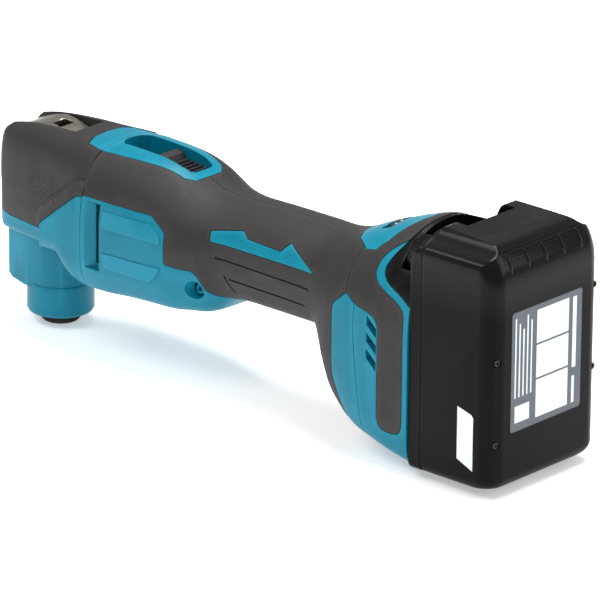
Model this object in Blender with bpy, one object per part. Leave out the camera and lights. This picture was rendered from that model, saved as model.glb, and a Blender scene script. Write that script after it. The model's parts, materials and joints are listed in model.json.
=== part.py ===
"""Cordless oscillating multi tool with a slide-on battery, as separate pieces.

Frame: X runs from the working head to the battery, and 0 is on the spindle's axis.
Y is across the tool, 0 on the plane where the left and right housings meet, and the
left side is -Y.  Z is up, and 0 is the face of the tool holder that takes the blade.
All sizes below are in millimetres, and MM turns them into metres when a mesh is made.
"""
import math

import bmesh
import bpy
import numpy as np
from mathutils import Matrix, Vector

MM = 0.001
GAP = 0.3                 # clearance between touching pieces
RING = 20                 # points round a section of the body
ROUND = 16                # sides of a round piece
FINE_ROUND = 24           # sides of a large or visible round piece
ATTEMPTS = ((0.0, 0.002), (0.013, 0.004), (-0.017, 0.008), (0.029, 0.016), (-0.037, 0.03))

# ---- driving dimensions -------------------------------------------------------------
HEAD_FRONT = -26.2        # foremost face of the head
HEAD_REAR = 43.9          # joint between head and motor housing
MAIN_FRONT = 44.2
MOTOR_Z = 66.5            # height of the motor's axis
REAR_FACE = 252.4         # rear face of the tool, where the battery's cover lies
BATTERY_FRONT = 253.4
BATTERY_REAR = 302.5
BATTERY_HALF = 37.5
BATTERY_BOTTOM = 3.0
BATTERY_TOP = 118.4
SKIN = 2.2                # thickness of the rubber over the housing
WALL = 4.8                # outside of the rubber to inside of the housing
OSCILLATION = 0.85        # eccentricity of the drive pin

# Sections of the body: x, top, bottom, half width, level of the widest point,
# exponent of the superellipse above that level, and below it.
BODY = np.array([
    (8, 101.0, 44.5, 32.4, 60.0, 2.90, 4.0),
    (26, 101.5, 44.5, 32.5, 60.0, 2.90, 4.0),
    (28.4, 101.6, 40.0, 32.5, 60.0, 2.90, 4.0),
    (31.4, 101.7, 35.6, 32.6, 60.0, 2.90, 4.0),
    (34.4, 101.8, 32.6, 32.6, 60.0, 2.90, 4.0),
    (39, 101.9, 31.0, 32.6, 60.0, 2.90, 4.0),
    (44, 102.0, 30.6, 32.7, 60.0, 2.90, 4.0),
    (55, 102.8, 31.0, 32.7, 60.0, 2.80, 4.1),
    (67, 102.6, 32.1, 32.6, 60.5, 2.70, 4.0),
    (79, 101.8, 33.0, 32.4, 61.0, 2.60, 4.1),
    (86, 100.4, 33.2, 32.2, 61.5, 2.50, 4.1),
    (92, 98.0, 33.3, 31.8, 62.0, 2.45, 4.1),
    (98, 94.6, 33.6, 31.0, 63.0, 2.40, 4.1),
    (104, 92.0, 34.6, 29.6, 64.0, 2.35, 4.1),
    (112, 90.7, 35.4, 27.4, 66.0, 2.30, 3.8),
    (117, 90.5, 37.8, 26.0, 67.0, 2.25, 3.2),
    (122, 90.6, 42.4, 25.0, 67.3, 2.20, 2.5),
    (140, 91.1, 43.4, 24.2, 67.3, 2.20, 2.2),
    (165, 91.2, 43.4, 24.2, 67.3, 2.20, 2.2),
    (177, 91.0, 43.4, 24.4, 67.2, 2.20, 2.2),
    (181, 91.2, 42.4, 24.9, 67.0, 2.20, 2.3),
    (185, 91.8, 37.5, 26.6, 66.0, 2.20, 2.5),
    (190, 92.8, 31.5, 29.8, 65.0, 2.20, 2.9),
    (195, 94.6, 24.5, 33.2, 64.0, 2.20, 3.3),
    (201, 97.4, 17.5, 36.2, 63.0, 2.25, 3.8),
    (207, 100.2, 13.0, 37.6, 62.0, 2.25, 4.2),
    (217, 104.2, 9.4, 38.2, 62.0, 2.30, 6.0),
    (228, 108.2, 7.6, 38.3, 62.0, 2.30, 8.0),
    (238, 111.2, 5.8, 38.2, 62.0, 2.30, 10.0),
    (253, 112.6, 3.2, 38.0, 62.0, 2.30, 12.0),
])

HEAD_FLOOR = 44.4          # joint between the two parts of the gear housing

# The head is slimmer than the motor and draws in towards the front.
HEAD = np.array([
    (-28, 94.6, HEAD_FLOOR, 10.4, 62.0, 4.6, 9.0),
    (-26.2, 95.4, HEAD_FLOOR, 13.4, 62.0, 4.6, 9.0),
    (-22.8, 96.6, HEAD_FLOOR, 16.6, 62.0, 4.6, 9.0),
    (-19, 97.6, HEAD_FLOOR, 18.0, 62.0, 4.6, 9.0),
    (-11, 99.2, HEAD_FLOOR, 19.7, 62.0, 4.6, 9.0),
    (10, 101.0, HEAD_FLOOR, 22.7, 62.0, 4.4, 9.0),
    (26, 101.5, HEAD_FLOOR, 25.3, 62.0, 4.0, 9.0),
    (47, 102.2, HEAD_FLOOR, 29.2, 62.0, 3.6, 9.0),
])

# Side views (x, z) of the joints between the pieces, drawn once and grown or shrunk
# by the clearance where two pieces share one.
HEAD_SIDE = [(HEAD_FRONT, 88.0), (-24.4, 93.4), (-18.2, 98.4), (-16.0, 110.0), (50.0, 110.0),
             (50.0, 10.0), (-22.9, 10.0), (-22.9, 66.6), (HEAD_FRONT, 72.3)]
COVER_EDGE = [(-30.0, 54.4), (-20.0, 54.0), (-15.0, 53.4), (15.2, 53.4), (17.4, 61.0),
              (18.6, 62.1), (40.5, 80.1), (50.0, 80.8), (50.0, 120.0), (-30.0, 120.0)]
POD_FACE = [(17.4, 45.6), (17.4, 61.0), (18.6, 62.1), (40.5, 80.1), (50.0, 80.8),
            (50.0, 15.0), (28.4, 15.0), (28.4, 45.6)]
POD_ROOT = [(11.0, 45.6), (11.0, 65.0), (13.0, 68.0), (35.0, 86.5), (50.0, 89.0),
            (50.0, 15.0), (26.8, 15.0), (26.8, 45.6)]
MOTOR_PANEL = [(40.0, 81.0), (87.0, 81.0), (95.6, 74.8), (96.0, 59.6), (104.8, 58.9),
               (110.7, 59.0), (113.3, 56.8), (117.0, 50.0), (122.0, 46.0), (127.0, 42.0),
               (127.0, 10.0), (40.0, 10.0)]
MAIN_JOINT = [(212.0, 130.0), (212.5, 87.0), (214.0, 77.6), (219.7, 73.8), (219.9, 57.7),
              (224.0, 19.0), (230.0, -5.0)]
REAR_PANEL = [(211.5, 75.2), (206.5, 71.2), (206.5, 36.5), (212.0, 22.0), (219.0, 6.0),
              (219.0, -5.0), (240.0, -5.0), (240.0, 78.0), (214.0, 78.0)]
COLLAR = [(206.0, 130.0), (206.0, 82.0), (213.6, 78.2), (219.6, 74.0), (227.0, 72.4),
          (234.4, 69.6), (234.4, 22.0), (237.0, 17.6), (247.0, 17.6), (249.6, 21.0),
          (249.6, 76.4), (246.0, 80.2), (231.5, 86.0), (228.2, 90.5), (228.6, 95.0),
          (230.6, 98.6), (234.5, 102.2), (245.0, 109.0), (245.0, 130.0)]
RIM = [(252.4, 79.2), (248.2, 82.4), (237.3, 86.9), (233.7, 89.9), (232.8, 93.9),
       (234.6, 98.2), (237.2, 102.4), (239.2, 106.4), (240.2, 111.5), (240.4, 130.0),
       (275.0, 130.0), (275.0, 79.2)]
HANDLE_ARROW = [(118.4, 79.6), (135.6, 82.9), (139.2, 80.3), (160.4, 79.5), (164.4, 83.9),
                (182.4, 75.1), (119.4, 75.1)]

# Plan views (x, y), one half.
BEZEL_PLAN = [(31.0, 0.0), (31.4, 9.0), (33.6, 15.2), (43.1, 17.4), (57.0, 17.2),
              (73.0, 15.6), (86.0, 13.6), (92.4, 12.4), (96.0, 8.6), (96.6, 0.0)]
CAP_PLAN = [(199.0, 0.0), (200.2, 8.0), (205.0, 16.5), (215.5, 24.6), (221.6, 25.4),
            (226.4, 21.0), (229.4, 14.0), (232.4, 7.6), (234.6, 0.0)]

CAP_LOW = 91.9             # lower edge of the cap over the speed dial

# ---- collections and materials ------------------------------------------------------
for leftover in list(bpy.data.objects):
    bpy.data.objects.remove(leftover, do_unlink=True)

PARTS = bpy.data.collections.new("multi_tool")
bpy.context.scene.collection.children.link(PARTS)


def material(name, colour, roughness, metallic=0.0):
    made = bpy.data.materials.new(name)
    made.use_nodes = True
    shader = made.node_tree.nodes["Principled BSDF"]
    shader.inputs["Base Color"].default_value = (*colour, 1.0)
    shader.inputs["Roughness"].default_value = roughness
    shader.inputs["Metallic"].default_value = metallic
    return made


TEAL = material("teal_plastic", (0.02, 0.20, 0.28), 0.42)
BLACK = material("black_plastic", (0.02, 0.02, 0.02), 0.45)
RUBBER = material("soft_grip_rubber", (0.06, 0.06, 0.06), 0.75)
STEEL = material("steel", (0.55, 0.55, 0.55), 0.30, 1.0)
DARK_STEEL = material("blackened_steel", (0.05, 0.05, 0.05), 0.45, 1.0)
ALUMINIUM = material("cast_aluminium", (0.60, 0.60, 0.62), 0.45, 1.0)
COPPER = material("copper_winding", (0.55, 0.22, 0.09), 0.35, 1.0)
BOARD = material("circuit_board", (0.02, 0.14, 0.06), 0.50)
CELL = material("cell_sleeve", (0.10, 0.25, 0.45), 0.40)


# ---- mesh helpers -------------------------------------------------------------------
def add(name, shell, finish):
    """Links a finished bmesh, drawn in millimetres, as one object in metres."""
    bmesh.ops.scale(shell, vec=(MM, MM, MM), verts=shell.verts)
    mesh = bpy.data.meshes.new(name)
    shell.to_mesh(mesh)
    shell.free()
    made = bpy.data.objects.new(name, mesh)
    mesh.materials.append(finish)
    PARTS.objects.link(made)
    return made


def loft(name, rings, finish):
    """Skins a row of rings that have the same number of points, and caps both ends."""
    shell = bmesh.new()
    rows = [[shell.verts.new(point) for point in ring] for ring in rings]
    count = len(rows[0])
    for lower, upper in zip(rows, rows[1:]):
        for k in range(count):
            after = (k + 1) % count
            shell.faces.new((lower[k], lower[after], upper[after], upper[k]))
    shell.faces.new(rows[0][::-1])
    shell.faces.new(rows[-1])
    bmesh.ops.triangulate(shell, faces=shell.faces)
    bmesh.ops.recalc_face_normals(shell, faces=shell.faces)
    return add(name, shell, finish)


def prism(name, outline, axis, low, high, finish=BLACK):
    """Extrudes a flat outline along an axis: 'x' takes (y, z), 'y' (x, z), 'z' (x, y)."""
    order = {"x": lambda p, t: (t, p[0], p[1]),
             "y": lambda p, t: (p[0], t, p[1]),
             "z": lambda p, t: (p[0], p[1], t)}[axis]
    return loft(name, [[order(point, t) for point in outline] for t in (low, high)], finish)


def box(name, low, high, finish=BLACK, bevel=0.0):
    shell = bmesh.new()
    bmesh.ops.create_cube(shell, size=1.0)
    size = [b - a for a, b in zip(low, high)]
    middle = [(a + b) / 2 for a, b in zip(low, high)]
    bmesh.ops.scale(shell, vec=size, verts=shell.verts)
    bmesh.ops.translate(shell, vec=middle, verts=shell.verts)
    if bevel:
        bmesh.ops.bevel(shell, geom=shell.edges[:], offset=bevel, segments=2, profile=0.5,
                        affect="EDGES", clamp_overlap=True)
    return add(name, shell, finish)


def rod(name, start, end, radius, finish=STEEL, end_radius=None, sides=ROUND):
    """A cylinder or cone between two points."""
    start, end = Vector(start), Vector(end)
    along = end - start
    shell = bmesh.new()
    bmesh.ops.create_cone(shell, cap_ends=True, segments=sides, radius1=radius,
                          radius2=radius if end_radius is None else end_radius,
                          depth=along.length)
    turn = Vector((0, 0, 1)).rotation_difference(along.normalized()).to_matrix().to_4x4()
    bmesh.ops.transform(shell, matrix=Matrix.Translation((start + end) / 2) @ turn,
                        verts=shell.verts)
    return add(name, shell, finish)


def turned(name, profile, finish, axis="z", origin=(0, 0, 0), sides=ROUND):
    """Spins a closed profile of (radius, height) points about an axis."""
    shell = bmesh.new()
    corners = [shell.verts.new((radius, 0, height)) for radius, height in profile]
    edges = [shell.edges.new((a, b)) for a, b in zip(corners, corners[1:] + corners[:1])
             if a.co.x > 0 or b.co.x > 0]
    bmesh.ops.spin(shell, geom=corners + edges, cent=(0, 0, 0), axis=(0, 0, 1),
                   angle=2 * math.pi, steps=sides, use_merge=True)
    bmesh.ops.remove_doubles(shell, verts=shell.verts, dist=1e-5)
    bmesh.ops.recalc_face_normals(shell, faces=shell.faces)
    if axis == "x":
        bmesh.ops.rotate(shell, verts=shell.verts, matrix=Matrix.Rotation(math.pi / 2, 3, "Y"))
    bmesh.ops.translate(shell, verts=shell.verts, vec=origin)
    return add(name, shell, finish)


def tube(name, low, high, outer, inner, finish=STEEL, axis="z", origin=(0, 0, 0), sides=ROUND):
    profile = [(inner, low), (inner, high), (outer, high), (outer, low)]
    return turned(name, profile, finish, axis, origin, sides)


def measure(mesh, reach=ATTEMPTS[0][1]):
    """Merges points nearer than reach; gives the volume, and whether it is closed."""
    shell = bmesh.new()
    shell.from_mesh(mesh)
    bmesh.ops.remove_doubles(shell, verts=shell.verts, dist=reach * MM)
    bmesh.ops.dissolve_degenerate(shell, edges=shell.edges, dist=reach / 2 * MM)
    bmesh.ops.triangulate(shell, faces=shell.faces)
    shell.to_mesh(mesh)
    volume = shell.calc_volume(signed=True)
    closed = all(edge.is_manifold and edge.is_contiguous for edge in shell.edges)
    shell.free()
    return volume, closed


def combine(target, tools, operation):
    """Applies one exact Boolean for each tool and removes the tools.

    Where faces of the two fall in one plane and the result isn't sound, the tool is
    nudged by some hundredths of a millimetre and the Boolean is made again.
    """
    for tool in tools:
        before, other = measure(target.data)[0], measure(tool.data)[0]
        low, high = {"DIFFERENCE": (max(0, before - other), before),
                     "INTERSECT": (0, min(before, other)),
                     "UNION": (max(before, other), before + other)}[operation]
        slack = 0.002 * min(before, other)
        change = target.modifiers.new("cut", "BOOLEAN")
        change.operation = operation
        change.solver = "EXACT"
        change.object = tool
        for nudge, reach in ATTEMPTS:
            measure(target.data, reach)
            tool.location = Vector((nudge, -0.7 * nudge, 0.4 * nudge)) * MM
            graph = bpy.context.evaluated_depsgraph_get()
            result = bpy.data.meshes.new_from_object(target.evaluated_get(graph))
            after, closed = measure(result)
            if closed and low - slack < after < high + slack and after > 0:
                break
        target.modifiers.clear()
        target.data = result
        bpy.data.objects.remove(tool, do_unlink=True)
    return target


def cut(target, *tools):
    return combine(target, tools, "DIFFERENCE")


def keep(target, *tools):
    return combine(target, tools, "INTERSECT")


def join(target, *tools):
    return combine(target, tools, "UNION")


def pivot(target, point):
    """Puts an object's origin on the axis that it turns about."""
    place = Vector(point) * MM
    target.data.transform(Matrix.Translation(-place))
    target.location = place
    return target


def tidy(target):
    """Merges the slivers that a Boolean leaves, as coarsely as keeps the surface closed."""
    for reach in (0.03, 0.01, 0.003, 0.001):
        shell = bmesh.new()
        shell.from_mesh(target.data)
        bmesh.ops.remove_doubles(shell, verts=shell.verts, dist=reach * MM)
        bmesh.ops.dissolve_degenerate(shell, edges=shell.edges, dist=reach / 2 * MM)
        bmesh.ops.dissolve_limit(shell, angle_limit=math.radians(1.2), verts=shell.verts,
                                 edges=shell.edges, delimit={"NORMAL"})
        bmesh.ops.triangulate(shell, faces=shell.faces)
        if all(edge.is_manifold and edge.is_contiguous for edge in shell.edges):
            shell.to_mesh(target.data)
            shell.free()
            break
        shell.free()
    return target


def grown(outline, amount):
    """Offsets a closed outline outwards by an amount, or inwards if it is negative."""
    points = [Vector(point) for point in outline]
    area = sum(a.x * b.y - b.x * a.y for a, b in zip(points, points[1:] + points[:1]))
    side = amount if area > 0 else -amount
    result = []
    for before, here, after in zip(points[-1:] + points[:-1], points, points[1:] + points[:1]):
        first = (here - before).normalized()
        second = (after - here).normalized()
        normal = Vector((first.y + second.y, -first.x - second.x))
        normal.normalize()
        lift = side / max(0.35, normal.dot(Vector((first.y, -first.x))))
        result.append(tuple(here + normal * lift))
    return result


def mirrored(half):
    """Completes a plan outline from the half that has y >= 0."""
    return half + [(x, -y) for x, y in half[::-1] if y > 0]


# ---- the body's surface -------------------------------------------------------------
def section(x, inset, table):
    """One ring of the body at x, moved inwards by an inset."""
    top, bottom, half, middle, above, below = (
        np.interp(x, table[:, 0], table[:, k]) for k in range(1, 7))
    top, bottom, half = top - inset, bottom + inset, half - inset
    ring = []
    for k in range(RING):
        angle = math.pi / 2 + 2 * math.pi * k / RING
        across, up = math.cos(angle), math.sin(angle)
        power = 2 / (above if up >= 0 else below)
        height = top - middle if up >= 0 else middle - bottom
        ring.append((x, math.copysign(half * abs(across) ** power, across),
                     middle + math.copysign(height * abs(up) ** power, up)))
    return ring


def body(name, start, end, inset=0.0, finish=BLACK, table=BODY):
    inner = [x for x in table[:, 0] if start + 0.5 < x < end - 0.5]
    return loft(name, [section(x, inset, table) for x in [start, *inner, end]], finish)


def side_half(sign):
    """The space on one side of the plane where the two halves meet."""
    low, high = sorted((sign * GAP / 2, sign * 60.0))
    return box("half", (-60, low, -20), (330, high, 140))


SIDES = {"left": -1, "right": 1}


# ---- head ---------------------------------------------------------------------------
PIN_X, PIN_Z = 8.5, 92.0        # hinge of the lock lever
SLOT_HALF = 9.8
COVER_WALL = 3.0


def pods(name, inset, finish):
    """The wide part of the head beside the motor, on both sides."""
    face, root = grown(POD_FACE, -inset), grown(POD_ROOT, -inset)
    edge = 60.0
    slope = (26.0 - inset, 32.6 - inset)
    rows = [(face, -edge), (face, -slope[1]), (root, -slope[0]), (root, slope[0]),
            (face, slope[1]), (face, edge)]
    made = loft(name, [[(x, y, z) for x, z in outline] for outline, y in rows], finish)
    return keep(made, body("barrel", 9, 44.5, inset))


def head_shell(name, inset, finish):
    """The head's outer form: the slim front part and the wide part before the motor."""
    made = body(name, -27.4, 46, inset, finish, HEAD)
    keep(made, prism("side", grown(HEAD_SIDE, -inset), "y", -60, 60))
    join(made, pods("pods", inset, finish))
    end = HEAD_REAR + (4 if inset else 0)
    return keep(made, box("length", (-60, -60, -20), (end, 60, 140)))


def head_cover():
    made = head_shell("head_cover", 0, RUBBER)
    keep(made, prism("edge", grown(COVER_EDGE, -GAP / 2), "y", -60, 60))
    cut(made, head_shell("hollow", COVER_WALL, RUBBER))
    slot = [(-40, 71), (-18, 71), (-18, 80), (19.6, 80), (19.6, 120), (-40, 120)]
    cut(made, prism("trim_seat", grown(mirrored(BEZEL_PLAN), GAP), "z", 88, 126),
        prism("slot", slot, "y", -SLOT_HALF, SLOT_HALF))
    return tidy(made)


def lever_cradle():
    """Two cheeks inside the head that carry the lever's pin, joined by a bridge."""
    made = box("lever_cradle", (3.0, -13.0, 80.6), (15.0, 13.0, 94.8), ALUMINIUM)
    cut(made, box("gap", (0, -10.4, 82.8), (20, 10.4, 100)),
        box("front", (0, -10.1, 78), (9.4, 10.1, 90)))
    cut(made, rod("bore", (PIN_X, -16, PIN_Z), (PIN_X, 16, PIN_Z), 2.3))
    return tidy(made)


def lever_pin():
    return rod("lever_pin", (PIN_X, -13.0, PIN_Z), (PIN_X, 13.0, PIN_Z), 2.0, STEEL)


def lock_lever():
    """A flat lever that hooks over the front of the head, on a round hub."""
    outline = [(-24.0, 72.5), (-22.4, 71.4), (-20.8, 73.0), (-20.2, 85.5), (-16.0, 92.2),
               (-8.0, 94.4), (-4.0, 93.0), (PIN_X - 3.0, PIN_Z - 4.6), (PIN_X, PIN_Z - 5.6),
               (PIN_X + 4.0, PIN_Z - 3.9), (PIN_X + 5.6, PIN_Z), (PIN_X + 4.2, PIN_Z + 3.8),
               (PIN_X, PIN_Z + 5.6), (2.0, 99.2), (-4.0, 99.8), (-11.5, 98.2), (-18.0, 95.6),
               (-23.4, 87.4), (-24.4, 80.0)]
    made = prism("lock_lever", outline, "y", -8.9, 8.9, STEEL)
    cut(made, rod("bore", (PIN_X, -12, PIN_Z), (PIN_X, 12, PIN_Z), 2.3),
        box("window", (-1.0, -4.4, 80), (4.4, 4.4, 110)))
    return pivot(tidy(made), (PIN_X, 0, PIN_Z))


def head_trim():
    """The teal nose of the switch surround, on the head's side of the joint."""
    made = body("head_trim", 28, HEAD_REAR, 0, TEAL)
    keep(made, prism("plan", mirrored(BEZEL_PLAN), "z", 94, 130))
    cut(made, body("inner", 20, 60, COVER_WALL))
    return tidy(made)


NECK_RADIUS = 15.4
BOSS_RADIUS = 16.2
BORE = 13.2                # radius of the bore for the spindle's lower bearing


def gear_housing():
    """The upper part of the gear housing, with the wide part beside the motor."""
    made = head_shell("gear_housing", 0, TEAL)
    return tidy(cut(made, head_shell("hollow", COVER_WALL, TEAL),
                    prism("cover_side", grown(COVER_EDGE, GAP / 2), "y", -60, 60),
                    rod("mouth", (0, 0, 30), (0, 0, 60), BORE)))


def neck_form(name, top, inset):
    """The neck, a flat-fronted nose that runs back into a round column."""
    plan = [(-22.9, 0.0), (-22.9, 11.0), (-21.2, 13.6), (-8.0, NECK_RADIUS)]
    plan += [(NECK_RADIUS * math.sin(t), NECK_RADIUS * math.cos(t))
             for t in np.linspace(0, math.pi / 2, 9)]
    side = [(-22.9, 24.0), (-22.9, top + inset), (30.0, top + inset), (30.0, 18.6),
            (-10.0, 18.6), (-19.0, 19.8), (-22.0, 22.4)]
    made = prism(name, grown(mirrored(plan), -inset), "z", 0, 90, TEAL)
    return keep(made, prism("side", grown(side, -inset), "y", -30, 30))


def spindle_housing():
    """The lower part: neck, boss and the bore of the spindle's lower bearing."""
    made = neck_form("spindle_housing", HEAD_FLOOR - GAP, 0)
    boss = turned("boss", [(0, 4.6), (13.0, 4.6), (15.4, 5.2), (BOSS_RADIUS, 6.6),
                           (BOSS_RADIUS, 18.2), (15.7, 20.4), (0, 20.4)], TEAL,
                  sides=FINE_ROUND)
    join(made, boss)
    return tidy(cut(made, neck_form("hollow", 60, COVER_WALL),
                    rod("seat", (0, 0, 11.0), (0, 0, 60), BORE, sides=FINE_ROUND),
                    rod("mouth", (0, 0, 0), (0, 0, 60), 9.6, sides=FINE_ROUND)))


# ---- spindle and clamp --------------------------------------------------------------
SPINDLE_RADIUS = 6.5
SPRING_SHOULDER = 66.0


def tool_holder():
    """The knurled flange under the spindle that the blade seats on."""
    made = turned("tool_holder", [(3.6, 2.6), (7.4, 2.6), (7.4, 0), (8.6, 0), (9.2, 0.7),
                                  (9.2, 5.0), (8.4, 5.8), (3.6, 5.8)], DARK_STEEL,
                  sides=24)
    return tidy(made)


def spindle():
    """The hollow spindle, counterbored at the top for the clamp's spring."""
    return turned("spindle", [(3.5, 6.1), (8.2, 6.1), (8.2, 10.4), (SPINDLE_RADIUS, 11.0),
                              (SPINDLE_RADIUS, 78.8), (5.3, 78.8), (5.3, SPRING_SHOULDER),
                              (3.5, SPRING_SHOULDER)], STEEL)


def clamp_shaft():
    """The draw bar through the hollow spindle, with the clamping head below."""
    return turned("clamp_shaft", [(0, 0), (6.4, 0), (6.9, 0.5), (6.9, 2.2), (3.1, 2.2),
                                  (3.1, 82.6), (6.2, 82.6), (6.2, 84.6), (2.6, 84.6),
                                  (2.6, 87.6), (0, 87.6)], STEEL)


def helix(name, centre, radius, low, high, turns, wire, axis="z", finish=STEEL):
    """A coil spring as a poly curve with a round bevel and closed ends."""
    steps = 9
    curve = bpy.data.curves.new(name, "CURVE")
    curve.dimensions = "3D"
    curve.bevel_depth = wire * MM
    curve.bevel_resolution = 0
    curve.use_fill_caps = True
    spline = curve.splines.new("POLY")
    count = turns * steps + 1
    spline.points.add(count - 1)
    for k in range(count):
        angle = 2 * math.pi * k / steps
        along = low + (high - low) * k / (count - 1)
        a, b = radius * math.cos(angle), radius * math.sin(angle)
        point = (a, b, along) if axis == "z" else (along, a, b)
        place = Vector(centre) + Vector(point)
        spline.points[k].co = (*(place * MM), 1.0)
    source = bpy.data.objects.new(name + "_path", curve)
    PARTS.objects.link(source)
    graph = bpy.context.evaluated_depsgraph_get()
    mesh = bpy.data.meshes.new_from_object(source.evaluated_get(graph))
    shell = bmesh.new()
    shell.from_mesh(mesh)
    bmesh.ops.remove_doubles(shell, verts=shell.verts, dist=0.001 * MM)
    bmesh.ops.recalc_face_normals(shell, faces=shell.faces)
    shell.to_mesh(mesh)
    shell.free()
    made = bpy.data.objects.new(name, mesh)
    mesh.materials.append(finish)
    PARTS.objects.link(made)
    bpy.data.objects.remove(source, do_unlink=True)
    return made


def clamp_spring():
    return helix("clamp_spring", (0, 0, 0), 4.2, SPRING_SHOULDER + 0.8, 81.8, 6, 0.45)


def lower_bearing():
    return tube("spindle_bearing_lower", 11.6, 19.6, 12.9, SPINDLE_RADIUS + GAP,
                sides=FINE_ROUND)


def upper_bearing():
    return tube("spindle_bearing_upper", 73.4, 78.6, 11.0, SPINDLE_RADIUS + GAP)


def bearing_plate():
    """The cast plate that holds the spindle's upper bearing under the lever."""
    made = box("bearing_plate", (-14.0, -14.6, 73.6), (14.4, 14.6, 78.4), ALUMINIUM, 1.0)
    return tidy(cut(made, rod("bore", (0, 0, 50), (0, 0, 90), 11.3)))


FORK_Z = MOTOR_Z
FORK_INNER = 11.4


def drive_fork():
    """The rocker arm: a clamped ring and two tines round the eccentric bearing."""
    made = rod("drive_fork", (0, 0, FORK_Z - 5.8), (0, 0, FORK_Z + 5.8), 10.6, STEEL)
    arm = prism("arm", [(0, -9.0), (16.0, -15.4), (37.5, -15.4), (37.5, 15.4), (16.0, 15.4),
                        (0, 9.0)], "z", FORK_Z - 5.8, FORK_Z + 5.8)
    join(made, arm)
    cut(made, box("throat", (19.0, -FORK_INNER, 30), (50, FORK_INNER, 80)),
        rod("bore", (0, 0, 30), (0, 0, 80), SPINDLE_RADIUS + GAP))
    return tidy(made)


# ---- motor and eccentric drive ------------------------------------------------------
STATOR_RADIUS = 20.6
ROTOR_RADIUS = 11.0


def on_axis(*radii_and_x, finish, name, sides=ROUND):
    """A solid of revolution about the motor's axis from (radius, x) pairs."""
    return turned(name, list(radii_and_x), finish, "x", (0, 0, MOTOR_Z), sides)


def rotor_shaft():
    """The motor's shaft with the eccentric drive pin on its front end."""
    made = on_axis((0, 40.6), (3.9, 40.6), (3.9, 108.0), (0, 108.0), finish=STEEL,
                   name="rotor_shaft")
    pin = rod("pin", (27.0, 0, MOTOR_Z + OSCILLATION), (41.0, 0, MOTOR_Z + OSCILLATION), 3.2)
    web = rod("web", (38.6, 0, MOTOR_Z), (41.5, 0, MOTOR_Z), 6.0)
    return pivot(tidy(join(made, web, pin)), (0, 0, MOTOR_Z))


def eccentric_bearing():
    centre = (0, 0, MOTOR_Z + OSCILLATION)
    made = tube("eccentric_bearing", 28.0, 37.0, 8.8, 3.5, STEEL, "x", centre)
    return pivot(made, (0, 0, MOTOR_Z))


def rotor():
    made = on_axis((4.2, 62.0), (4.2, 86.0), (ROTOR_RADIUS, 86.0), (ROTOR_RADIUS, 62.0),
                   finish=DARK_STEEL, name="rotor")
    return pivot(made, (0, 0, MOTOR_Z))


def stator():
    """The laminated ring with six slots between its poles."""
    made = on_axis((ROTOR_RADIUS + 0.5, 61.0), (ROTOR_RADIUS + 0.5, 86.0),
                   (STATOR_RADIUS, 86.0), (STATOR_RADIUS, 61.0), finish=DARK_STEEL,
                   name="stator", sides=36)
    for k in range(6):
        angle = math.radians(60 * k)
        centre = Vector((73.5, 14.2 * math.cos(angle), MOTOR_Z + 14.2 * math.sin(angle)))
        cut(made, rod("slot", centre - Vector((20, 0, 0)), centre + Vector((20, 0, 0)), 3.0,
                      sides=10))
    return tidy(made)


def coils(name, low, high):
    """The end turns of the windings as one ring."""
    return on_axis((12.2, low), (12.2, high), (17.4, high), (18.6, (low + high) / 2),
                   (17.4, low), finish=COPPER, name=name)


def cooling_fan():
    made = on_axis((4.2, 92.0), (4.2, 98.4), (7.0, 98.4), (8.0, 94.0), (19.0, 93.2),
                   (19.0, 92.0), finish=BLACK, name="cooling_fan")
    for k in range(9):
        angle = math.radians(40 * k)
        blade = box("blade", (92.6, 6.4, -0.8), (97.0, 18.0, 0.8))
        blade.data.transform(Matrix.Translation((0, 0, MOTOR_Z * MM))
                             @ Matrix.Rotation(angle, 4, "X"))
        join(made, blade)
    return pivot(tidy(made), (0, 0, MOTOR_Z))


def motor_bearing(name, low, outer):
    return tube(name, low, low + 6.5, outer, 4.2, STEEL, "x", (0, 0, MOTOR_Z))


def motor_bracket():
    """The plate that holds the front bearing, screwed between head and motor."""
    plate = body("motor_bracket", 46.4, 49.4, WALL + 0.8, ALUMINIUM)
    join(plate, rod("seat", (46.4, 0, MOTOR_Z), (54.6, 0, MOTOR_Z), 14.0))
    cut(plate, rod("bore", (40, 0, MOTOR_Z), (60, 0, MOTOR_Z), 11.3))
    cut(plate, box("tub_space", (40, -10.8, 89.3), (60, 10.8, 110)))
    for y, z in ((-22, 84), (22, 84), (-22, 42), (22, 42)):
        cut(plate, rod("vent", (40, y, z), (60, y, z), 4.0, sides=12))
    return tidy(plate)


# ---- main housing -------------------------------------------------------------------
MAIN_SPACE = [(40.0, -5.0), (40.0, 130.0), *MAIN_JOINT]


def rubber_space():
    """The layer that the rubber fills: between the skin and the housing."""
    made = body("layer", MAIN_FRONT - 3, 250, -1.5)
    cut(made, body("core", MAIN_FRONT - 9, 260, SKIN + GAP))
    cut(made, prism("motor_panel", MOTOR_PANEL, "y", -60, 60),
        prism("rear_panel", REAR_PANEL, "y", -60, 60))
    return made


def housing(side):
    """One half of the main housing: motor barrel, handle and the start of the flare."""
    sign = SIDES[side]
    made = body("housing_" + side, MAIN_FRONT, 232, 0, TEAL)
    keep(made, side_half(sign), prism("main", MAIN_SPACE, "y", -60, 60))
    cut(made, rubber_space(), body("hollow", MAIN_FRONT - 9, 250, WALL))
    cut(made, prism("bezel", grown(mirrored(BEZEL_PLAN), GAP), "z", 86, 130),
        prism("cap", grown(mirrored(CAP_PLAN), GAP), "z", CAP_LOW - GAP, 130))
    cut(made, box("vent", (51.0, min(sign * 20, sign * 60), 48.4),
                  (55.8, max(sign * 20, sign * 60), 77.8)))
    cut(made, rod("screw_recess", (112.0, sign * 20.6, 49.6), (112.0, sign * 34, 49.6), 3.0,
                  end_radius=6.5))
    return tidy(made)


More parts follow.
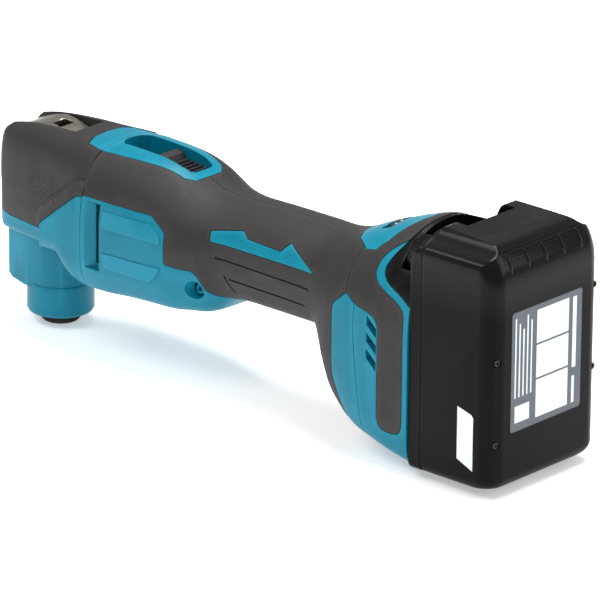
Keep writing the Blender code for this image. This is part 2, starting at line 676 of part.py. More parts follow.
def grip(side):
    """The rubber moulded over one half, cut round the teal panels and the switch."""
    sign = SIDES[side]
    made = body("grip_" + side, MAIN_FRONT, 232, 0, RUBBER)
    keep(made, side_half(sign), prism("main", MAIN_SPACE, "y", -60, 60))
    cut(made, body("core", MAIN_FRONT - 9, 250, SKIN),
        prism("motor_panel", grown(MOTOR_PANEL, GAP), "y", -60, 60),
        prism("rear_panel", grown(REAR_PANEL, GAP), "y", -60, 60),
        prism("bezel", grown(mirrored(BEZEL_PLAN), GAP), "z", 86, 130),
        prism("cap", grown(mirrored(CAP_PLAN), GAP), "z", CAP_LOW - GAP, 130),
        prism("arrow", grown(HANDLE_ARROW, GAP), "y", min(sign * 8, sign * 60),
              max(sign * 8, sign * 60)))
    return tidy(made)


def grip_inlay(side):
    sign = SIDES[side]
    made = body("grip_inlay_" + side, 112, 190, 0, TEAL)
    keep(made, prism("arrow", HANDLE_ARROW, "y", min(sign * 8, sign * 60),
                     max(sign * 8, sign * 60)))
    cut(made, body("core", 100, 200, SKIN))
    return tidy(made)


# ---- switch -------------------------------------------------------------------------
POCKET_HALF = 8.4
TUB_BOTTOM = 89.7
TUB_FLOOR = 91.2


def switch_bezel():
    """The teal surround, a shallow tub that the slider runs in."""
    made = body("switch_bezel", MAIN_FRONT, 99, 0, TEAL)
    keep(made, prism("plan", mirrored(BEZEL_PLAN), "z", TUB_BOTTOM, 130))
    shell = body("under", MAIN_FRONT - 9, 110, WALL - 1.0)
    tub = box("tub", (44.6, -10.4, 80), (94.6, 10.4, 120))
    cut(made, cut(shell, tub))
    pocket = [(45.6, 0), (46.6, 5.0), (50.0, POCKET_HALF), (86.0, POCKET_HALF),
              (91.4, POCKET_HALF - 1.2), (92.6, 5.4), (92.8, 0)]
    cut(made, box("slot", (61.6, -1.9, 84), (78.4, 1.9, 96)),
        prism("pocket", mirrored(pocket), "z", TUB_FLOOR, 130))
    return tidy(made)


def switch_slider():
    """The on-off slide: ribbed back, raised ridge and a post through the tub's floor."""
    side_view = [(57.0, 91.5), (57.0, 93.6), (64.4, 94.4), (66.0, 99.0), (68.6, 100.2),
                 (72.4, 99.2), (74.0, 96.4), (91.0, 94.6), (91.0, 91.5)]
    made = prism("switch_slider", side_view, "y", -POCKET_HALF, POCKET_HALF)
    plan = [(56.0, 0.0), (56.0, 6.9), (57.0, 7.9), (85.6, 7.9), (90.6, 6.6), (92.0, 4.6),
            (92.0, 0.0)]
    keep(made, prism("plan", mirrored(plan), "z", 80, 120))
    for k in range(5):
        x = 76.6 + 2.9 * k
        join(made, box("rib", (x - 0.6, -6.8, 94.0), (x + 0.6, 6.8, 97.3 - 0.32 * k)))
    join(made, box("post", (71.6, -1.5, 89.3), (77.4, 1.5, 92.5)))
    return tidy(made)


def switch_link():
    outline = [(66.0, 87.4), (66.0, 88.9), (97.5, 88.9), (107.6, 84.5), (126.0, 84.5),
               (126.0, 83.0), (107.4, 83.0), (99.0, 87.4)]
    return prism("switch_link", outline, "y", -3.4, 3.4)


def switch_module():
    made = box("switch_module", (112.0, -9.0, 66.0), (138.0, 9.0, 81.4), BLACK, 0.8)
    return tidy(join(made, box("plunger", (120.0, -2.6, 81.0), (124.0, 2.6, 82.7))))


def handle_board():
    """The motor's controller, potted in a tray inside the handle."""
    made = box("controller_tray", (142.0, -12.5, 56.0), (192.0, 12.5, 66.0), ALUMINIUM, 0.8)
    return tidy(cut(made, box("well", (143.6, -11.0, 58.0), (190.4, 11.0, 70.0))))


def controller_board():
    return box("controller_board", (144.2, -10.4, 60.0), (189.8, 10.4, 61.6), BOARD)


# ---- rear housing -------------------------------------------------------------------
DOCK_FRONT = 241.6
GUIDE_X, GUIDE_Y = 247.3, 27.3      # the tool's guides reach behind the battery's rails


def dock():
    """The space behind the rear wall, a T-slot that the battery's rails slide in."""
    made = box("dock", (DOCK_FRONT, -30.5, 10), (GUIDE_X, 30.5, 125))
    return join(made, box("throat", (GUIDE_X - 1, -GUIDE_Y, 10), (256, GUIDE_Y, 125)))


def rear_form(name, inset, finish):
    """The flare behind the joint, closed by the rim that the battery's nose fills."""
    made = body(name, 205, REAR_FACE, inset, finish)
    outline = [*MAIN_JOINT[::-1], (260.0, 130.0), (260.0, -5.0)]
    keep(made, prism("rear", grown(outline, -GAP), "y", -60, 60))
    return cut(made, prism("rim", RIM, "y", -60, 60))


def dock_nose():
    """The black glossy surround of the battery's dock, inside the rim."""
    made = body("dock_nose", 226, REAR_FACE, GAP, BLACK)
    return tidy(cut(keep(made, prism("rim", grown(RIM, -GAP), "y", -60, 60)), dock()))


def rear_housing(side):
    """One half of the rear housing with the battery's guide on its rear wall."""
    sign = SIDES[side]
    made = rear_form("rear_housing_" + side, 0, TEAL)
    keep(made, side_half(sign))
    layer = body("layer", 200, 262, -1.5)
    cut(layer, body("core", 195, 268, SKIN + GAP))
    keep(layer, prism("collar", COLLAR, "y", -60, 60))
    cut(made, layer, body("hollow", 190, 236.6, 3.6 + SKIN),
        dock(), prism("cap", grown(mirrored(CAP_PLAN), GAP), "z", CAP_LOW - GAP, 130))
    for k in range(3):
        low = 66.4 - 8.0 * k
        slot = [(228.0, low + 4.6), (228.0, low), (233.9, low - 5.2), (233.9, low - 0.8)]
        cut(made, prism("vent", slot, "y", min(sign * 20, sign * 60),
                        max(sign * 20, sign * 60)))
    return tidy(made)


def rear_bumper(side):
    """The black rubber collar and side bumper of one half."""
    sign = SIDES[side]
    made = rear_form("rear_bumper_" + side, 0, RUBBER)
    keep(made, side_half(sign), prism("collar", grown(COLLAR, -GAP), "y", -60, 60))
    cut(made, body("core", 190, 268, SKIN), dock(),
        prism("cap", grown(mirrored(CAP_PLAN), GAP), "z", CAP_LOW - GAP, 130))
    return tidy(made)


DIAL_X, DIAL_Z = 215.6, 92.4
DIAL_RADIUS = 10.6
DIAL_HALF = 2.6


def dial_cap():
    """The teal cap over the dial, with the window that its rim shows through."""
    made = body("dial_cap", 190, 240, 0, TEAL)
    keep(made, prism("plan", mirrored(CAP_PLAN), "z", CAP_LOW, 130))
    cut(made, body("core", 180, 250, SKIN + 0.4),
        box("window", (DIAL_X - 3.4, -11.2, 80), (DIAL_X + 3.4, 11.2, 120)))
    return tidy(made)


def speed_dial():
    made = rod("speed_dial", (DIAL_X - DIAL_HALF, 0, DIAL_Z), (DIAL_X + DIAL_HALF, 0, DIAL_Z),
               DIAL_RADIUS, BLACK, sides=36)
    cut(made, rod("bore", (DIAL_X - 9, 0, DIAL_Z), (DIAL_X + 9, 0, DIAL_Z), 2.2))
    return pivot(tidy(made), (DIAL_X, 0, DIAL_Z))


def dial_spindle():
    """The potentiometer behind the dial and its shaft."""
    made = rod("speed_potentiometer", (DIAL_X - 2.4, 0, DIAL_Z), (DIAL_X + 5.0, 0, DIAL_Z), 1.9,
               STEEL)
    join(made, box("body", (DIAL_X + 4.0, -6.0, DIAL_Z - 8.0), (DIAL_X + 7.0, 6.0, DIAL_Z + 4.0)))
    return tidy(made)


def terminal_block():
    """The block with the blade terminals that reach into the battery."""
    made = box("terminal_block", (241.9, -17.0, 26.0), (247.0, 17.0, 66.0), BLACK, 0.8)
    return tidy(made)


def terminal(name, y):
    return box(name, (247.3, y - 0.5, 30.0), (258.4, y + 0.5, 60.0), COPPER)


# ---- battery ------------------------------------------------------------------------
def crown(amount=0.0):
    """The battery seen from behind: rounded corners and shoulders below the top."""
    half = [(0.0, BATTERY_BOTTOM), (33.0, BATTERY_BOTTOM), (35.6, 3.8), (37.0, 5.4),
            (BATTERY_HALF, 8.0), (BATTERY_HALF, 107.8), (36.6, 110.6), (34.0, 112.4),
            (29.0, 114.2), (24.4, BATTERY_TOP + 0.4), (0.0, BATTERY_TOP + 0.4)]
    outline = [(y, z) for y, z in half] + [(-y, z) for y, z in half[::-1] if y > 0]
    return grown(outline, amount)


def top_curve():
    """The side view's large round from the flat top down to the rear face."""
    run, rise = 12.0, 20.0
    centre_x, centre_z = BATTERY_REAR - run, BATTERY_TOP - 1.0 - rise
    return [(centre_x + run * math.sin(t), centre_z + rise * math.cos(t))
            for t in np.linspace(0, math.radians(90), 9)]


ROOF = 101.2               # top of the space for the cells
BAY_FLOOR = 102.8          # floor of the notch that holds the button


# Plan view of the case, one half, with its rounded rear corner.
CASE_PLAN = [(240.0, 0.0), (240.0, 40.0), (297.6, 40.0), (298.0, 37.6), (300.2, 36.9),
             (301.8, 35.3), (302.4, 33.0), (302.6, 30.0), (304.0, 30.0), (304.0, 0.0)]


def battery_case():
    """The open tray that holds the cells, with the round top and the rear face."""
    outline = [(260.4, -5.0), (260.4, 117.4), (262.4, BATTERY_TOP), *top_curve(),
               (BATTERY_REAR, 10.0), (301.4, 6.4), (298.6, 4.0), (295.0, 2.8), (295.0, -5.0)]
    made = prism("battery_case", outline, "y", -50, 50)
    keep(made, prism("crown", crown(), "x", 250, 310),
         prism("plan", mirrored(CASE_PLAN), "z", -10, 130))
    inner = [(250.0, 8.6), (250.0, ROOF), (298.4, ROOF), (299.4, ROOF - 1), (299.4, 8.6)]
    cut(made, prism("hollow", inner, "y", -34.4, 34.4),
        box("button_bay", (250, -16.6, BAY_FLOOR), (268.4, 16.6, 130)))
    for y, z in SCREW_PLACES:
        cut(made, rod("screw_well", (300.3, y, z), (310, y, z), 1.9, sides=12),
            rod("screw_hole", (295, y, z), (305, y, z), 1.2, sides=8))
    return tidy(made)


SCREW_PLACES = [(-33.2, 65.7), (-33.2, 26.3), (33.2, 85.4), (33.2, 46.0)]


def battery_screw(name, y, z):
    made = rod(name, (300.6, y, z), (301.6, y, z), 1.6, DARK_STEEL, sides=12)
    join(made, rod("shank", (290.0, y, z), (301.0, y, z), 0.8, sides=8))
    return tidy(cut(made, rod("recess", (301.0, y, z), (303, y, z), 0.8, sides=6)))


def battery_cover():
    """The battery's front: the plate below the two horns of the top, and the rails."""
    made = prism("battery_cover", crown(-0.1), "x", 250.0, 260.0)
    front = [(BATTERY_FRONT, -5.0), (BATTERY_FRONT, 103.6), (256.0, 109.0), (258.8, 115.4),
             (260.0, 117.0), (264.0, 118.0), (264.0, -5.0)]
    keep(made, prism("front", front, "y", -50, 50))
    nose = body("nose", DOCK_FRONT + GAP, 256.0, GAP)
    join(made, keep(nose, box("channel", (240, GAP - GUIDE_Y, 86.0), (257, GUIDE_Y - GAP, 130))))
    for sign in (-1, 1):
        join(made, box("rail", (246.0, min(sign * 21, sign * 27), 13.0),
                       (255.0, max(sign * 21, sign * 27), 84.0)))
        join(made, box("lip", (244.0, min(sign * 21, sign * 29.4), 13.0),
                       (247.0, max(sign * 21, sign * 29.4), 84.0)))
    cut(made, box("button_bay", (243.0, -16.6, BAY_FLOOR), (270.0, 16.6, 130)))
    for y in TERMINAL_Y:
        cut(made, box("terminal_slot", (252, y - 1.5, -5), (262, y + 1.5, 74)))
    return tidy(made)


TERMINAL_Y = (-9.0, 9.0)


def release_button():
    """The push button in the notch at the battery's top."""
    low = BAY_FLOOR + GAP
    outline = [(250.0, low), (250.0, 105.4), (253.0, 108.6), (262.0, 112.4), (264.6, 111.8),
               (264.6, low)]
    made = prism("battery_button", outline, "y", -15.8, 15.8)
    return tidy(cut(made, box("spring_seat", (261.0, -2.8, 103.9), (266, 2.8, 109.5))))


def button_spring():
    return helix("button_spring", (0, 0, 106.7), 2.0, 261.6, 267.9, 4, 0.35, "x")


def cell_column(name, x):
    """Five cells in a column, joined by the nickel strips at their ends."""
    low, pitch, radius, half = 18.0, 18.4, 9.1, 31.6
    made = rod(name, (x, -half, low), (x, half, low), radius, CELL, sides=14)
    for k in range(1, 5):
        z = low + pitch * k
        join(made, rod("cell", (x, -half, z), (x, half, z), radius, sides=14))
    for end in (-half, half):
        join(made, box("strip", (x - 3, end - 0.4, low - 3), (x + 3, end + 0.4, z + 3)))
    return tidy(made)


def battery_board():
    return box("battery_board", (260.6, -24.0, 9.4), (261.6, 24.0, 96.0), BOARD)


def fasteners():
    for k, (y, z) in enumerate(SCREW_PLACES, 1):
        battery_screw("battery_screw_%d" % k, y, z)
    made = rod("housing_screw", (112.0, -22.9, 49.6), (112.0, -20.9, 49.6), 2.6, DARK_STEEL,
               sides=12)
    cut(made, rod("recess", (112.0, -30.0, 49.6), (112.0, -21.9, 49.6), 1.3, sides=6))
    tidy(made)


# ---- assembly -----------------------------------------------------------------------
def build():
    head_cover()
    head_trim()
    lever_cradle()
    lever_pin()
    lock_lever()
    gear_housing()
    spindle_housing()
    tool_holder()
    spindle()
    clamp_shaft()
    clamp_spring()
    lower_bearing()
    upper_bearing()
    bearing_plate()
    drive_fork()
    rotor_shaft()
    eccentric_bearing()
    rotor()
    stator()
    coils("winding_front", 55.0, 60.7)
    coils("winding_rear", 86.3, 91.0)
    cooling_fan()
    motor_bearing("motor_bearing_front", 47.4, 11.0)
    motor_bearing("motor_bearing_rear", 100.4, 9.5)
    motor_bracket()
    switch_bezel()
    switch_slider()
    switch_link()
    switch_module()
    handle_board()
    controller_board()
    for side in SIDES:
        housing(side)
        grip(side)
        grip_inlay(side)
        rear_housing(side)
        rear_bumper(side)
    dock_nose()
    dial_cap()
    speed_dial()
    dial_spindle()
    terminal_block()
    for k, y in enumerate(TERMINAL_Y, 1):
        terminal("terminal_%d" % k, y)
    battery_case()
    battery_cover()
    release_button()
    button_spring()
    battery_board()
    cell_column("cell_column_front", 271.4)
    cell_column("cell_column_rear", 290.0)
    fasteners()
    for made in PARTS.objects:
        made.data.shade_smooth()
        made.data.set_sharp_from_angle(angle=math.radians(32))


build()
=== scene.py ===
"""Looks of the cordless oscillating multi tool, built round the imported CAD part."""
import json
import math

import bmesh
import bpy
import numpy as np
from mathutils import Matrix, Vector


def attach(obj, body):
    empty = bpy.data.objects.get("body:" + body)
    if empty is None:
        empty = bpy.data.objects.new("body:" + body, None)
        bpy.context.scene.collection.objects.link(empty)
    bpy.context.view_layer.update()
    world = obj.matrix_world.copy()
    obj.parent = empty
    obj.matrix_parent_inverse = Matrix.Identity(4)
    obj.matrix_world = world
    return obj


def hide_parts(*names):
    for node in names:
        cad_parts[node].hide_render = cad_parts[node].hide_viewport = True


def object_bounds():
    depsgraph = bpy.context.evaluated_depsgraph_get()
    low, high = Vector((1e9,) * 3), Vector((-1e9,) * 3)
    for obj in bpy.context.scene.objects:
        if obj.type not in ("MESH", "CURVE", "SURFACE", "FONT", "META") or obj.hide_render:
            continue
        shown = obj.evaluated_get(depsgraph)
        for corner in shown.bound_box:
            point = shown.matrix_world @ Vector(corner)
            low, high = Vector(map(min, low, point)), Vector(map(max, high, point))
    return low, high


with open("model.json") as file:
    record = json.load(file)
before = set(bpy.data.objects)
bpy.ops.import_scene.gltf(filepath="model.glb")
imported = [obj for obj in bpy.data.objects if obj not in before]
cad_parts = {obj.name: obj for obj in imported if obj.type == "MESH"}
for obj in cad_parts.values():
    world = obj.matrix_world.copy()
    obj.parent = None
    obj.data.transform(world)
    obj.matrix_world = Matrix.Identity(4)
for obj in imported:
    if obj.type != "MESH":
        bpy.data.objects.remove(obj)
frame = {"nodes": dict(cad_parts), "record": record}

CAD_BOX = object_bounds()

MM = 0.001
GAP = 0.3
RING = 64                 # points round a section of the body
ROUND = 40
FINE_ROUND = 72
STEP = 3.0                # distance between sections of the body
ATTEMPTS = ((0.0, 0.002), (0.013, 0.004), (-0.017, 0.008), (0.029, 0.016))

# ---- driving dimensions -------------------------------------------------------------
HEAD_FRONT = -26.2        # foremost face of the head
HEAD_REAR = 43.9          # joint between head and motor housing
MAIN_FRONT = 44.2
REAR_FACE = 252.4         # rear face of the tool, where the battery's cover lies
BATTERY_FRONT = 253.4
BATTERY_REAR = 302.5
BATTERY_HALF = 37.5
BATTERY_BOTTOM = 3.0
BATTERY_TOP = 118.4
SKIN = 2.2                # thickness of the rubber over the housing
WALL = 4.8                # outside of the rubber to inside of the housing

# Sections of the body: x, top, bottom, half width, level of the widest point,
# exponent of the superellipse above that level, and below it.
BODY = np.array([
    (8, 101.0, 44.5, 32.4, 60.0, 2.90, 4.0),
    (26, 101.5, 44.5, 32.5, 60.0, 2.90, 4.0),
    (28.4, 101.6, 40.0, 32.5, 60.0, 2.90, 4.0),
    (31.4, 101.7, 35.6, 32.6, 60.0, 2.90, 4.0),
    (34.4, 101.8, 32.6, 32.6, 60.0, 2.90, 4.0),
    (39, 101.9, 31.0, 32.6, 60.0, 2.90, 4.0),
    (44, 102.0, 30.6, 32.7, 60.0, 2.90, 4.0),
    (55, 102.8, 31.0, 32.7, 60.0, 2.80, 4.1),
    (67, 102.6, 32.1, 32.6, 60.5, 2.70, 4.0),
    (79, 101.8, 33.0, 32.4, 61.0, 2.60, 4.1),
    (86, 100.4, 33.2, 32.2, 61.5, 2.50, 4.1),
    (92, 98.0, 33.3, 31.8, 62.0, 2.45, 4.1),
    (98, 94.6, 33.6, 31.0, 63.0, 2.40, 4.1),
    (104, 92.0, 34.6, 29.6, 64.0, 2.35, 4.1),
    (112, 90.7, 35.4, 27.4, 66.0, 2.30, 3.8),
    (117, 90.5, 37.8, 26.0, 67.0, 2.25, 3.2),
    (122, 90.6, 42.4, 25.0, 67.3, 2.20, 2.5),
    (140, 91.1, 43.4, 24.2, 67.3, 2.20, 2.2),
    (165, 91.2, 43.4, 24.2, 67.3, 2.20, 2.2),
    (177, 91.0, 43.4, 24.4, 67.2, 2.20, 2.2),
    (181, 91.2, 42.4, 24.9, 67.0, 2.20, 2.3),
    (185, 91.8, 37.5, 26.6, 66.0, 2.20, 2.5),
    (190, 92.8, 31.5, 29.8, 65.0, 2.20, 2.9),
    (195, 94.6, 24.5, 33.2, 64.0, 2.20, 3.3),
    (201, 97.4, 17.5, 36.2, 63.0, 2.25, 3.8),
    (207, 100.2, 13.0, 37.6, 62.0, 2.25, 4.2),
    (217, 104.2, 9.4, 38.2, 62.0, 2.30, 6.0),
    (228, 108.2, 7.6, 38.3, 62.0, 2.30, 8.0),
    (238, 111.2, 5.8, 38.2, 62.0, 2.30, 10.0),
    (253, 112.6, 3.2, 38.0, 62.0, 2.30, 12.0),
])

HEAD_FLOOR = 44.4          # joint between the two parts of the gear housing

# The head is slimmer than the motor and draws in towards the front.
HEAD = np.array([
    (-28, 94.6, HEAD_FLOOR, 10.4, 62.0, 4.6, 9.0),
    (-26.2, 95.4, HEAD_FLOOR, 13.4, 62.0, 4.6, 9.0),
    (-22.8, 96.6, HEAD_FLOOR, 16.6, 62.0, 4.6, 9.0),
    (-19, 97.6, HEAD_FLOOR, 18.0, 62.0, 4.6, 9.0),
    (-11, 99.2, HEAD_FLOOR, 19.7, 62.0, 4.6, 9.0),
    (10, 101.0, HEAD_FLOOR, 22.7, 62.0, 4.4, 9.0),
    (26, 101.5, HEAD_FLOOR, 25.3, 62.0, 4.0, 9.0),
    (47, 102.2, HEAD_FLOOR, 29.2, 62.0, 3.6, 9.0),
])

# Side views (x, z) of the joints between the pieces, drawn once and grown or shrunk
# by the clearance where two pieces share one.
HEAD_SIDE = [(HEAD_FRONT, 88.0), (-24.4, 93.4), (-18.2, 98.4), (-16.0, 110.0), (50.0, 110.0),
             (50.0, 10.0), (-22.9, 10.0), (-22.9, 66.6), (HEAD_FRONT, 72.3)]
COVER_EDGE = [(-30.0, 54.4), (-20.0, 54.0), (-15.0, 53.4), (15.2, 53.4), (17.4, 61.0),
              (18.6, 62.1), (40.5, 80.1), (50.0, 80.8), (50.0, 120.0), (-30.0, 120.0)]
POD_FACE = [(17.4, 45.6), (17.4, 61.0), (18.6, 62.1), (40.5, 80.1), (50.0, 80.8),
            (50.0, 15.0), (28.4, 15.0), (28.4, 45.6)]
POD_ROOT = [(11.0, 45.6), (11.0, 65.0), (13.0, 68.0), (35.0, 86.5), (50.0, 89.0),
            (50.0, 15.0), (26.8, 15.0), (26.8, 45.6)]
MOTOR_PANEL = [(40.0, 81.0), (87.0, 81.0), (95.6, 74.8), (96.0, 59.6), (104.8, 58.9),
               (110.7, 59.0), (113.3, 56.8), (117.0, 50.0), (122.0, 46.0), (127.0, 42.0),
               (127.0, 10.0), (40.0, 10.0)]
MAIN_JOINT = [(212.0, 130.0), (212.5, 87.0), (214.0, 77.6), (219.7, 73.8), (219.9, 57.7),
              (224.0, 19.0), (230.0, -5.0)]
REAR_PANEL = [(211.5, 75.2), (206.5, 71.2), (206.5, 36.5), (212.0, 22.0), (219.0, 6.0),
              (219.0, -5.0), (240.0, -5.0), (240.0, 78.0), (214.0, 78.0)]
COLLAR = [(206.0, 130.0), (206.0, 82.0), (213.6, 78.2), (219.6, 74.0), (227.0, 72.4),
          (234.4, 69.6), (234.4, 22.0), (237.0, 17.6), (247.0, 17.6), (249.6, 21.0),
          (249.6, 76.4), (246.0, 80.2), (231.5, 86.0), (228.2, 90.5), (228.6, 95.0),
          (230.6, 98.6), (234.5, 102.2), (245.0, 109.0), (245.0, 130.0)]
RIM = [(252.4, 79.2), (248.2, 82.4), (237.3, 86.9), (233.7, 89.9), (232.8, 93.9),
       (234.6, 98.2), (237.2, 102.4), (239.2, 106.4), (240.2, 111.5), (240.4, 130.0),
       (275.0, 130.0), (275.0, 79.2)]
HANDLE_ARROW = [(118.4, 79.6), (135.6, 82.9), (139.2, 80.3), (160.4, 79.5), (164.4, 83.9),
                (182.4, 75.1), (119.4, 75.1)]

# Plan views (x, y), one half.
BEZEL_PLAN = [(31.0, 0.0), (31.4, 9.0), (33.6, 15.2), (43.1, 17.4), (57.0, 17.2),
              (73.0, 15.6), (86.0, 13.6), (92.4, 12.4), (96.0, 8.6), (96.6, 0.0)]
CAP_PLAN = [(199.0, 0.0), (200.2, 8.0), (205.0, 16.5), (215.5, 24.6), (221.6, 25.4),
            (226.4, 21.0), (229.4, 14.0), (232.4, 7.6), (234.6, 0.0)]

CAP_LOW = 91.9             # lower edge of the cap over the speed dial


def soften(outline, reach, steps=4):
    """Rounds every corner of a closed outline, over at most reach along each edge."""
    points = [Vector(point) for point in outline]
    result = []
    for before, here, after in zip(points[-1:] + points[:-1], points, points[1:] + points[:1]):
        first, second = before - here, after - here
        start = here + first.normalized() * min(reach, 0.45 * first.length)
        end = here + second.normalized() * min(reach, 0.45 * second.length)
        for k in range(steps + 1):
            t = k / steps
            result.append(tuple(start * (1 - t) ** 2 + here * 2 * t * (1 - t) + end * t * t))
    return result


HEAD_SIDE = soften(HEAD_SIDE, 3.0)
COVER_EDGE = soften(COVER_EDGE, 1.6)
POD_FACE = soften(POD_FACE, 2.0)
POD_ROOT = soften(POD_ROOT, 4.0)
MOTOR_PANEL = soften(MOTOR_PANEL, 1.6)
REAR_PANEL = soften(REAR_PANEL, 2.0)
COLLAR = soften(COLLAR, 5.0)
RIM = soften(RIM, 6.0)
HANDLE_ARROW = soften(HANDLE_ARROW, 0.6)

PARTS = bpy.data.collections.new("looks")
bpy.context.scene.collection.children.link(PARTS)


# ---- materials ----------------------------------------------------------------------
class Nodes:
    """A small helper that adds shader nodes and joins them."""

    def __init__(self, name):
        self.material = bpy.data.materials.new(name)
        self.material.use_nodes = True
        self.tree = self.material.node_tree
        self.shader = self.tree.nodes["Principled BSDF"]
        self.place = self.node("ShaderNodeTexCoord").outputs["Object"]

    def node(self, kind, **inputs):
        made = self.tree.nodes.new(kind)
        for name, value in inputs.items():
            self.set(made, name.replace("_", " "), value)
        return made

    def set(self, made, name, value):
        socket = made.inputs[name]
        if isinstance(value, bpy.types.NodeSocket):
            self.tree.links.new(value, socket)
        else:
            socket.default_value = value

    def noise(self, scale, detail=4.0, rough=0.6):
        return self.node("ShaderNodeTexNoise", Vector=self.place, Scale=scale, Detail=detail,
                         Roughness=rough).outputs["Fac"]

    def ramp(self, value, low, high, start, end):
        made = self.node("ShaderNodeMapRange", Value=value)
        for name, number in (("From Min", low), ("From Max", high), ("To Min", start),
                             ("To Max", end)):
            made.inputs[name].default_value = number
        return made.outputs["Result"]

    def math(self, operation, a, b=0.0):
        made = self.tree.nodes.new("ShaderNodeMath")
        made.operation = operation
        for socket, value in zip(made.inputs, (a, b)):
            if isinstance(value, bpy.types.NodeSocket):
                self.tree.links.new(value, socket)
            else:
                socket.default_value = value
        return made.outputs["Value"]

    def mix(self, factor, first, second):
        made = self.tree.nodes.new("ShaderNodeMix")
        made.data_type = "RGBA"
        for socket, value in ((made.inputs[0], factor), (made.inputs[6], first),
                              (made.inputs[7], second)):
            if isinstance(value, bpy.types.NodeSocket):
                self.tree.links.new(value, socket)
            else:
                socket.default_value = value
        return made.outputs[2]


def rgb(red, green, blue):
    """An 8-bit display colour as the linear colour that shaders take."""
    values = [v / 255 for v in (red, green, blue)]
    return (*[v / 12.92 if v <= 0.04045 else ((v + 0.055) / 1.055) ** 2.4 for v in values], 1.0)


def surface(name, colour, rough, grain=0.1, grain_scale=2500.0, metallic=0.0, spread=0.06,
            edge=0.5, edge_highlight=None, coat=0.0, relief=None, specular=0.4, polish=None):
    """A moulded or machined surface: fine grain, uneven gloss and soft edges, painted paler as a
    highlight.

    polish gives two heights, and the roughness and specular level above the upper one.
    """
    n = Nodes(name)
    broad = n.noise(38.0, 3.0)
    # Painted edge highlight: a paler colour, mixed in where Pointiness finds sharp convex edges.
    edge_highlight = edge_highlight or tuple(min(1.0, c * 1.5 + 0.01) for c in colour[:3]) + (1.0,)
    geometry = n.node("ShaderNodeNewGeometry").outputs["Pointiness"]
    rim = n.ramp(geometry, 0.52, 0.62, 0.0, 0.5)
    tint = n.mix(n.ramp(broad, 0.3, 0.7, 0.0, 1.0), tuple(c * 0.92 for c in colour[:3]) + (1.0,),
                 tuple(min(1.0, c * 1.08) for c in colour[:3]) + (1.0,))
    n.set(n.shader, "Base Color", n.mix(rim, tint, edge_highlight))
    n.shader.inputs["Metallic"].default_value = metallic
    n.shader.inputs["Specular IOR Level"].default_value = specular if not metallic else 0.5
    if polish:
        bottom, top, smooth, shine = polish
        level = n.node("ShaderNodeSeparateXYZ", Vector=n.place).outputs["Z"]
        n.set(n.shader, "Roughness", n.ramp(level, bottom, top, rough, smooth))
        n.set(n.shader, "Specular IOR Level", n.ramp(level, bottom, top, specular, shine))
    else:
        gloss = n.ramp(n.noise(160.0), 0.25, 0.75, rough - spread, rough + spread)
        n.set(n.shader, "Roughness", gloss)
    n.shader.inputs["Coat Weight"].default_value = coat
    n.shader.inputs["Coat Roughness"].default_value = 0.12
    height = n.noise(grain_scale, 2.0)
    if relief:
        height = relief(n, height)
    bump = n.node("ShaderNodeBump", Height=height, Strength=grain, Distance=0.0003)
    if edge:
        bevel = n.tree.nodes.new("ShaderNodeBevel")
        bevel.samples = 6
        bevel.inputs["Radius"].default_value = edge * MM
        n.tree.links.new(bevel.outputs["Normal"], bump.inputs["Normal"])
    n.set(n.shader, "Normal", bump.outputs["Normal"])
    return n.material


def window(n, value, low, high, soft):
    """1 where value lies between low and high, fading over soft."""
    rise = n.ramp(value, low - soft, low + soft, 0.0, 1.0)
    fall = n.ramp(value, high - soft, high + soft, 1.0, 0.0)
    return n.math("MULTIPLY", rise, fall)


def grip_lines(n, height):
    """The field of fine wavy lines on the side of the head."""
    parts = n.node("ShaderNodeSeparateXYZ", Vector=n.place)
    x, z = parts.outputs["X"], parts.outputs["Z"]
    slope = n.math("SUBTRACT", z, n.math("MULTIPLY", x, 0.75))
    field = n.math("MULTIPLY", window(n, x, -0.0012, 0.0235, 0.0004),
                   window(n, z, 0.0598, 0.0818, 0.0004))
    field = n.math("MULTIPLY", field, n.ramp(slope, 0.0535, 0.0545, 0.0, 1.0))
    drift = n.math("MULTIPLY", n.math("SINE", n.math("MULTIPLY", x, 900.0)), 0.5)
    line = n.math("SINE", n.math("ADD", n.math("MULTIPLY", z, 5200.0), drift))
    return n.math("ADD", n.math("MULTIPLY", height, 0.4), n.math("MULTIPLY", line, field))


TEAL_C = rgb(0, 117, 140)
TEAL = surface("teal_housing", TEAL_C, 0.38, 0.06, 3000.0, edge=0.5, specular=0.2)
RUBBER = surface("grip_rubber", rgb(42, 40, 39), 0.56, 0.45, 1300.0, edge=0.7, specular=0.3)
HEAD_RUBBER = surface("head_rubber", rgb(43, 41, 40), 0.56, 0.5, 1300.0, edge=0.7, specular=0.3,
                      relief=grip_lines)
BLACK = surface("black_moulding", rgb(30, 28, 29), 0.42, 0.12, 2600.0, edge=0.3)
SHELL = surface("battery_shell", rgb(12, 11, 12), 0.34, 0.05, 3200.0, edge=1.2, specular=0.07,
                polish=(0.084, 0.112, 0.14, 0.2))
GLOSS = surface("battery_gloss", rgb(9, 9, 9), 0.12, 0.01, 900.0, edge=1.0, spread=0.03,
                specular=0.22)
STEEL = surface("bright_steel", rgb(164, 158, 148), 0.26, 0.08, 900.0, 1.0, edge=0.3)
DARK_STEEL = surface("black_steel", rgb(46, 42, 38), 0.38, 0.1, 1200.0, 0.9, edge=0.25)
ALUMINIUM = surface("cast_metal", rgb(178, 178, 180), 0.45, 0.2, 900.0, 1.0, edge=0.3)
COPPER = surface("winding_copper", rgb(176, 98, 52), 0.35, 0.4, 1600.0, 1.0, edge=0.0)
BOARD = surface("solder_mask", rgb(16, 84, 44), 0.40, 0.1, 900.0, edge=0.2)
CELL = surface("cell_wrap", rgb(52, 104, 150), 0.35, 0.04, 700.0, edge=0.2)
SLATE = surface("label_slate", rgb(74, 80, 88), 0.45, 0.03, 900.0, edge=0.0)
PRINT = surface("label_print", rgb(206, 211, 216), 0.50, 0.03, 900.0, edge=0.0)
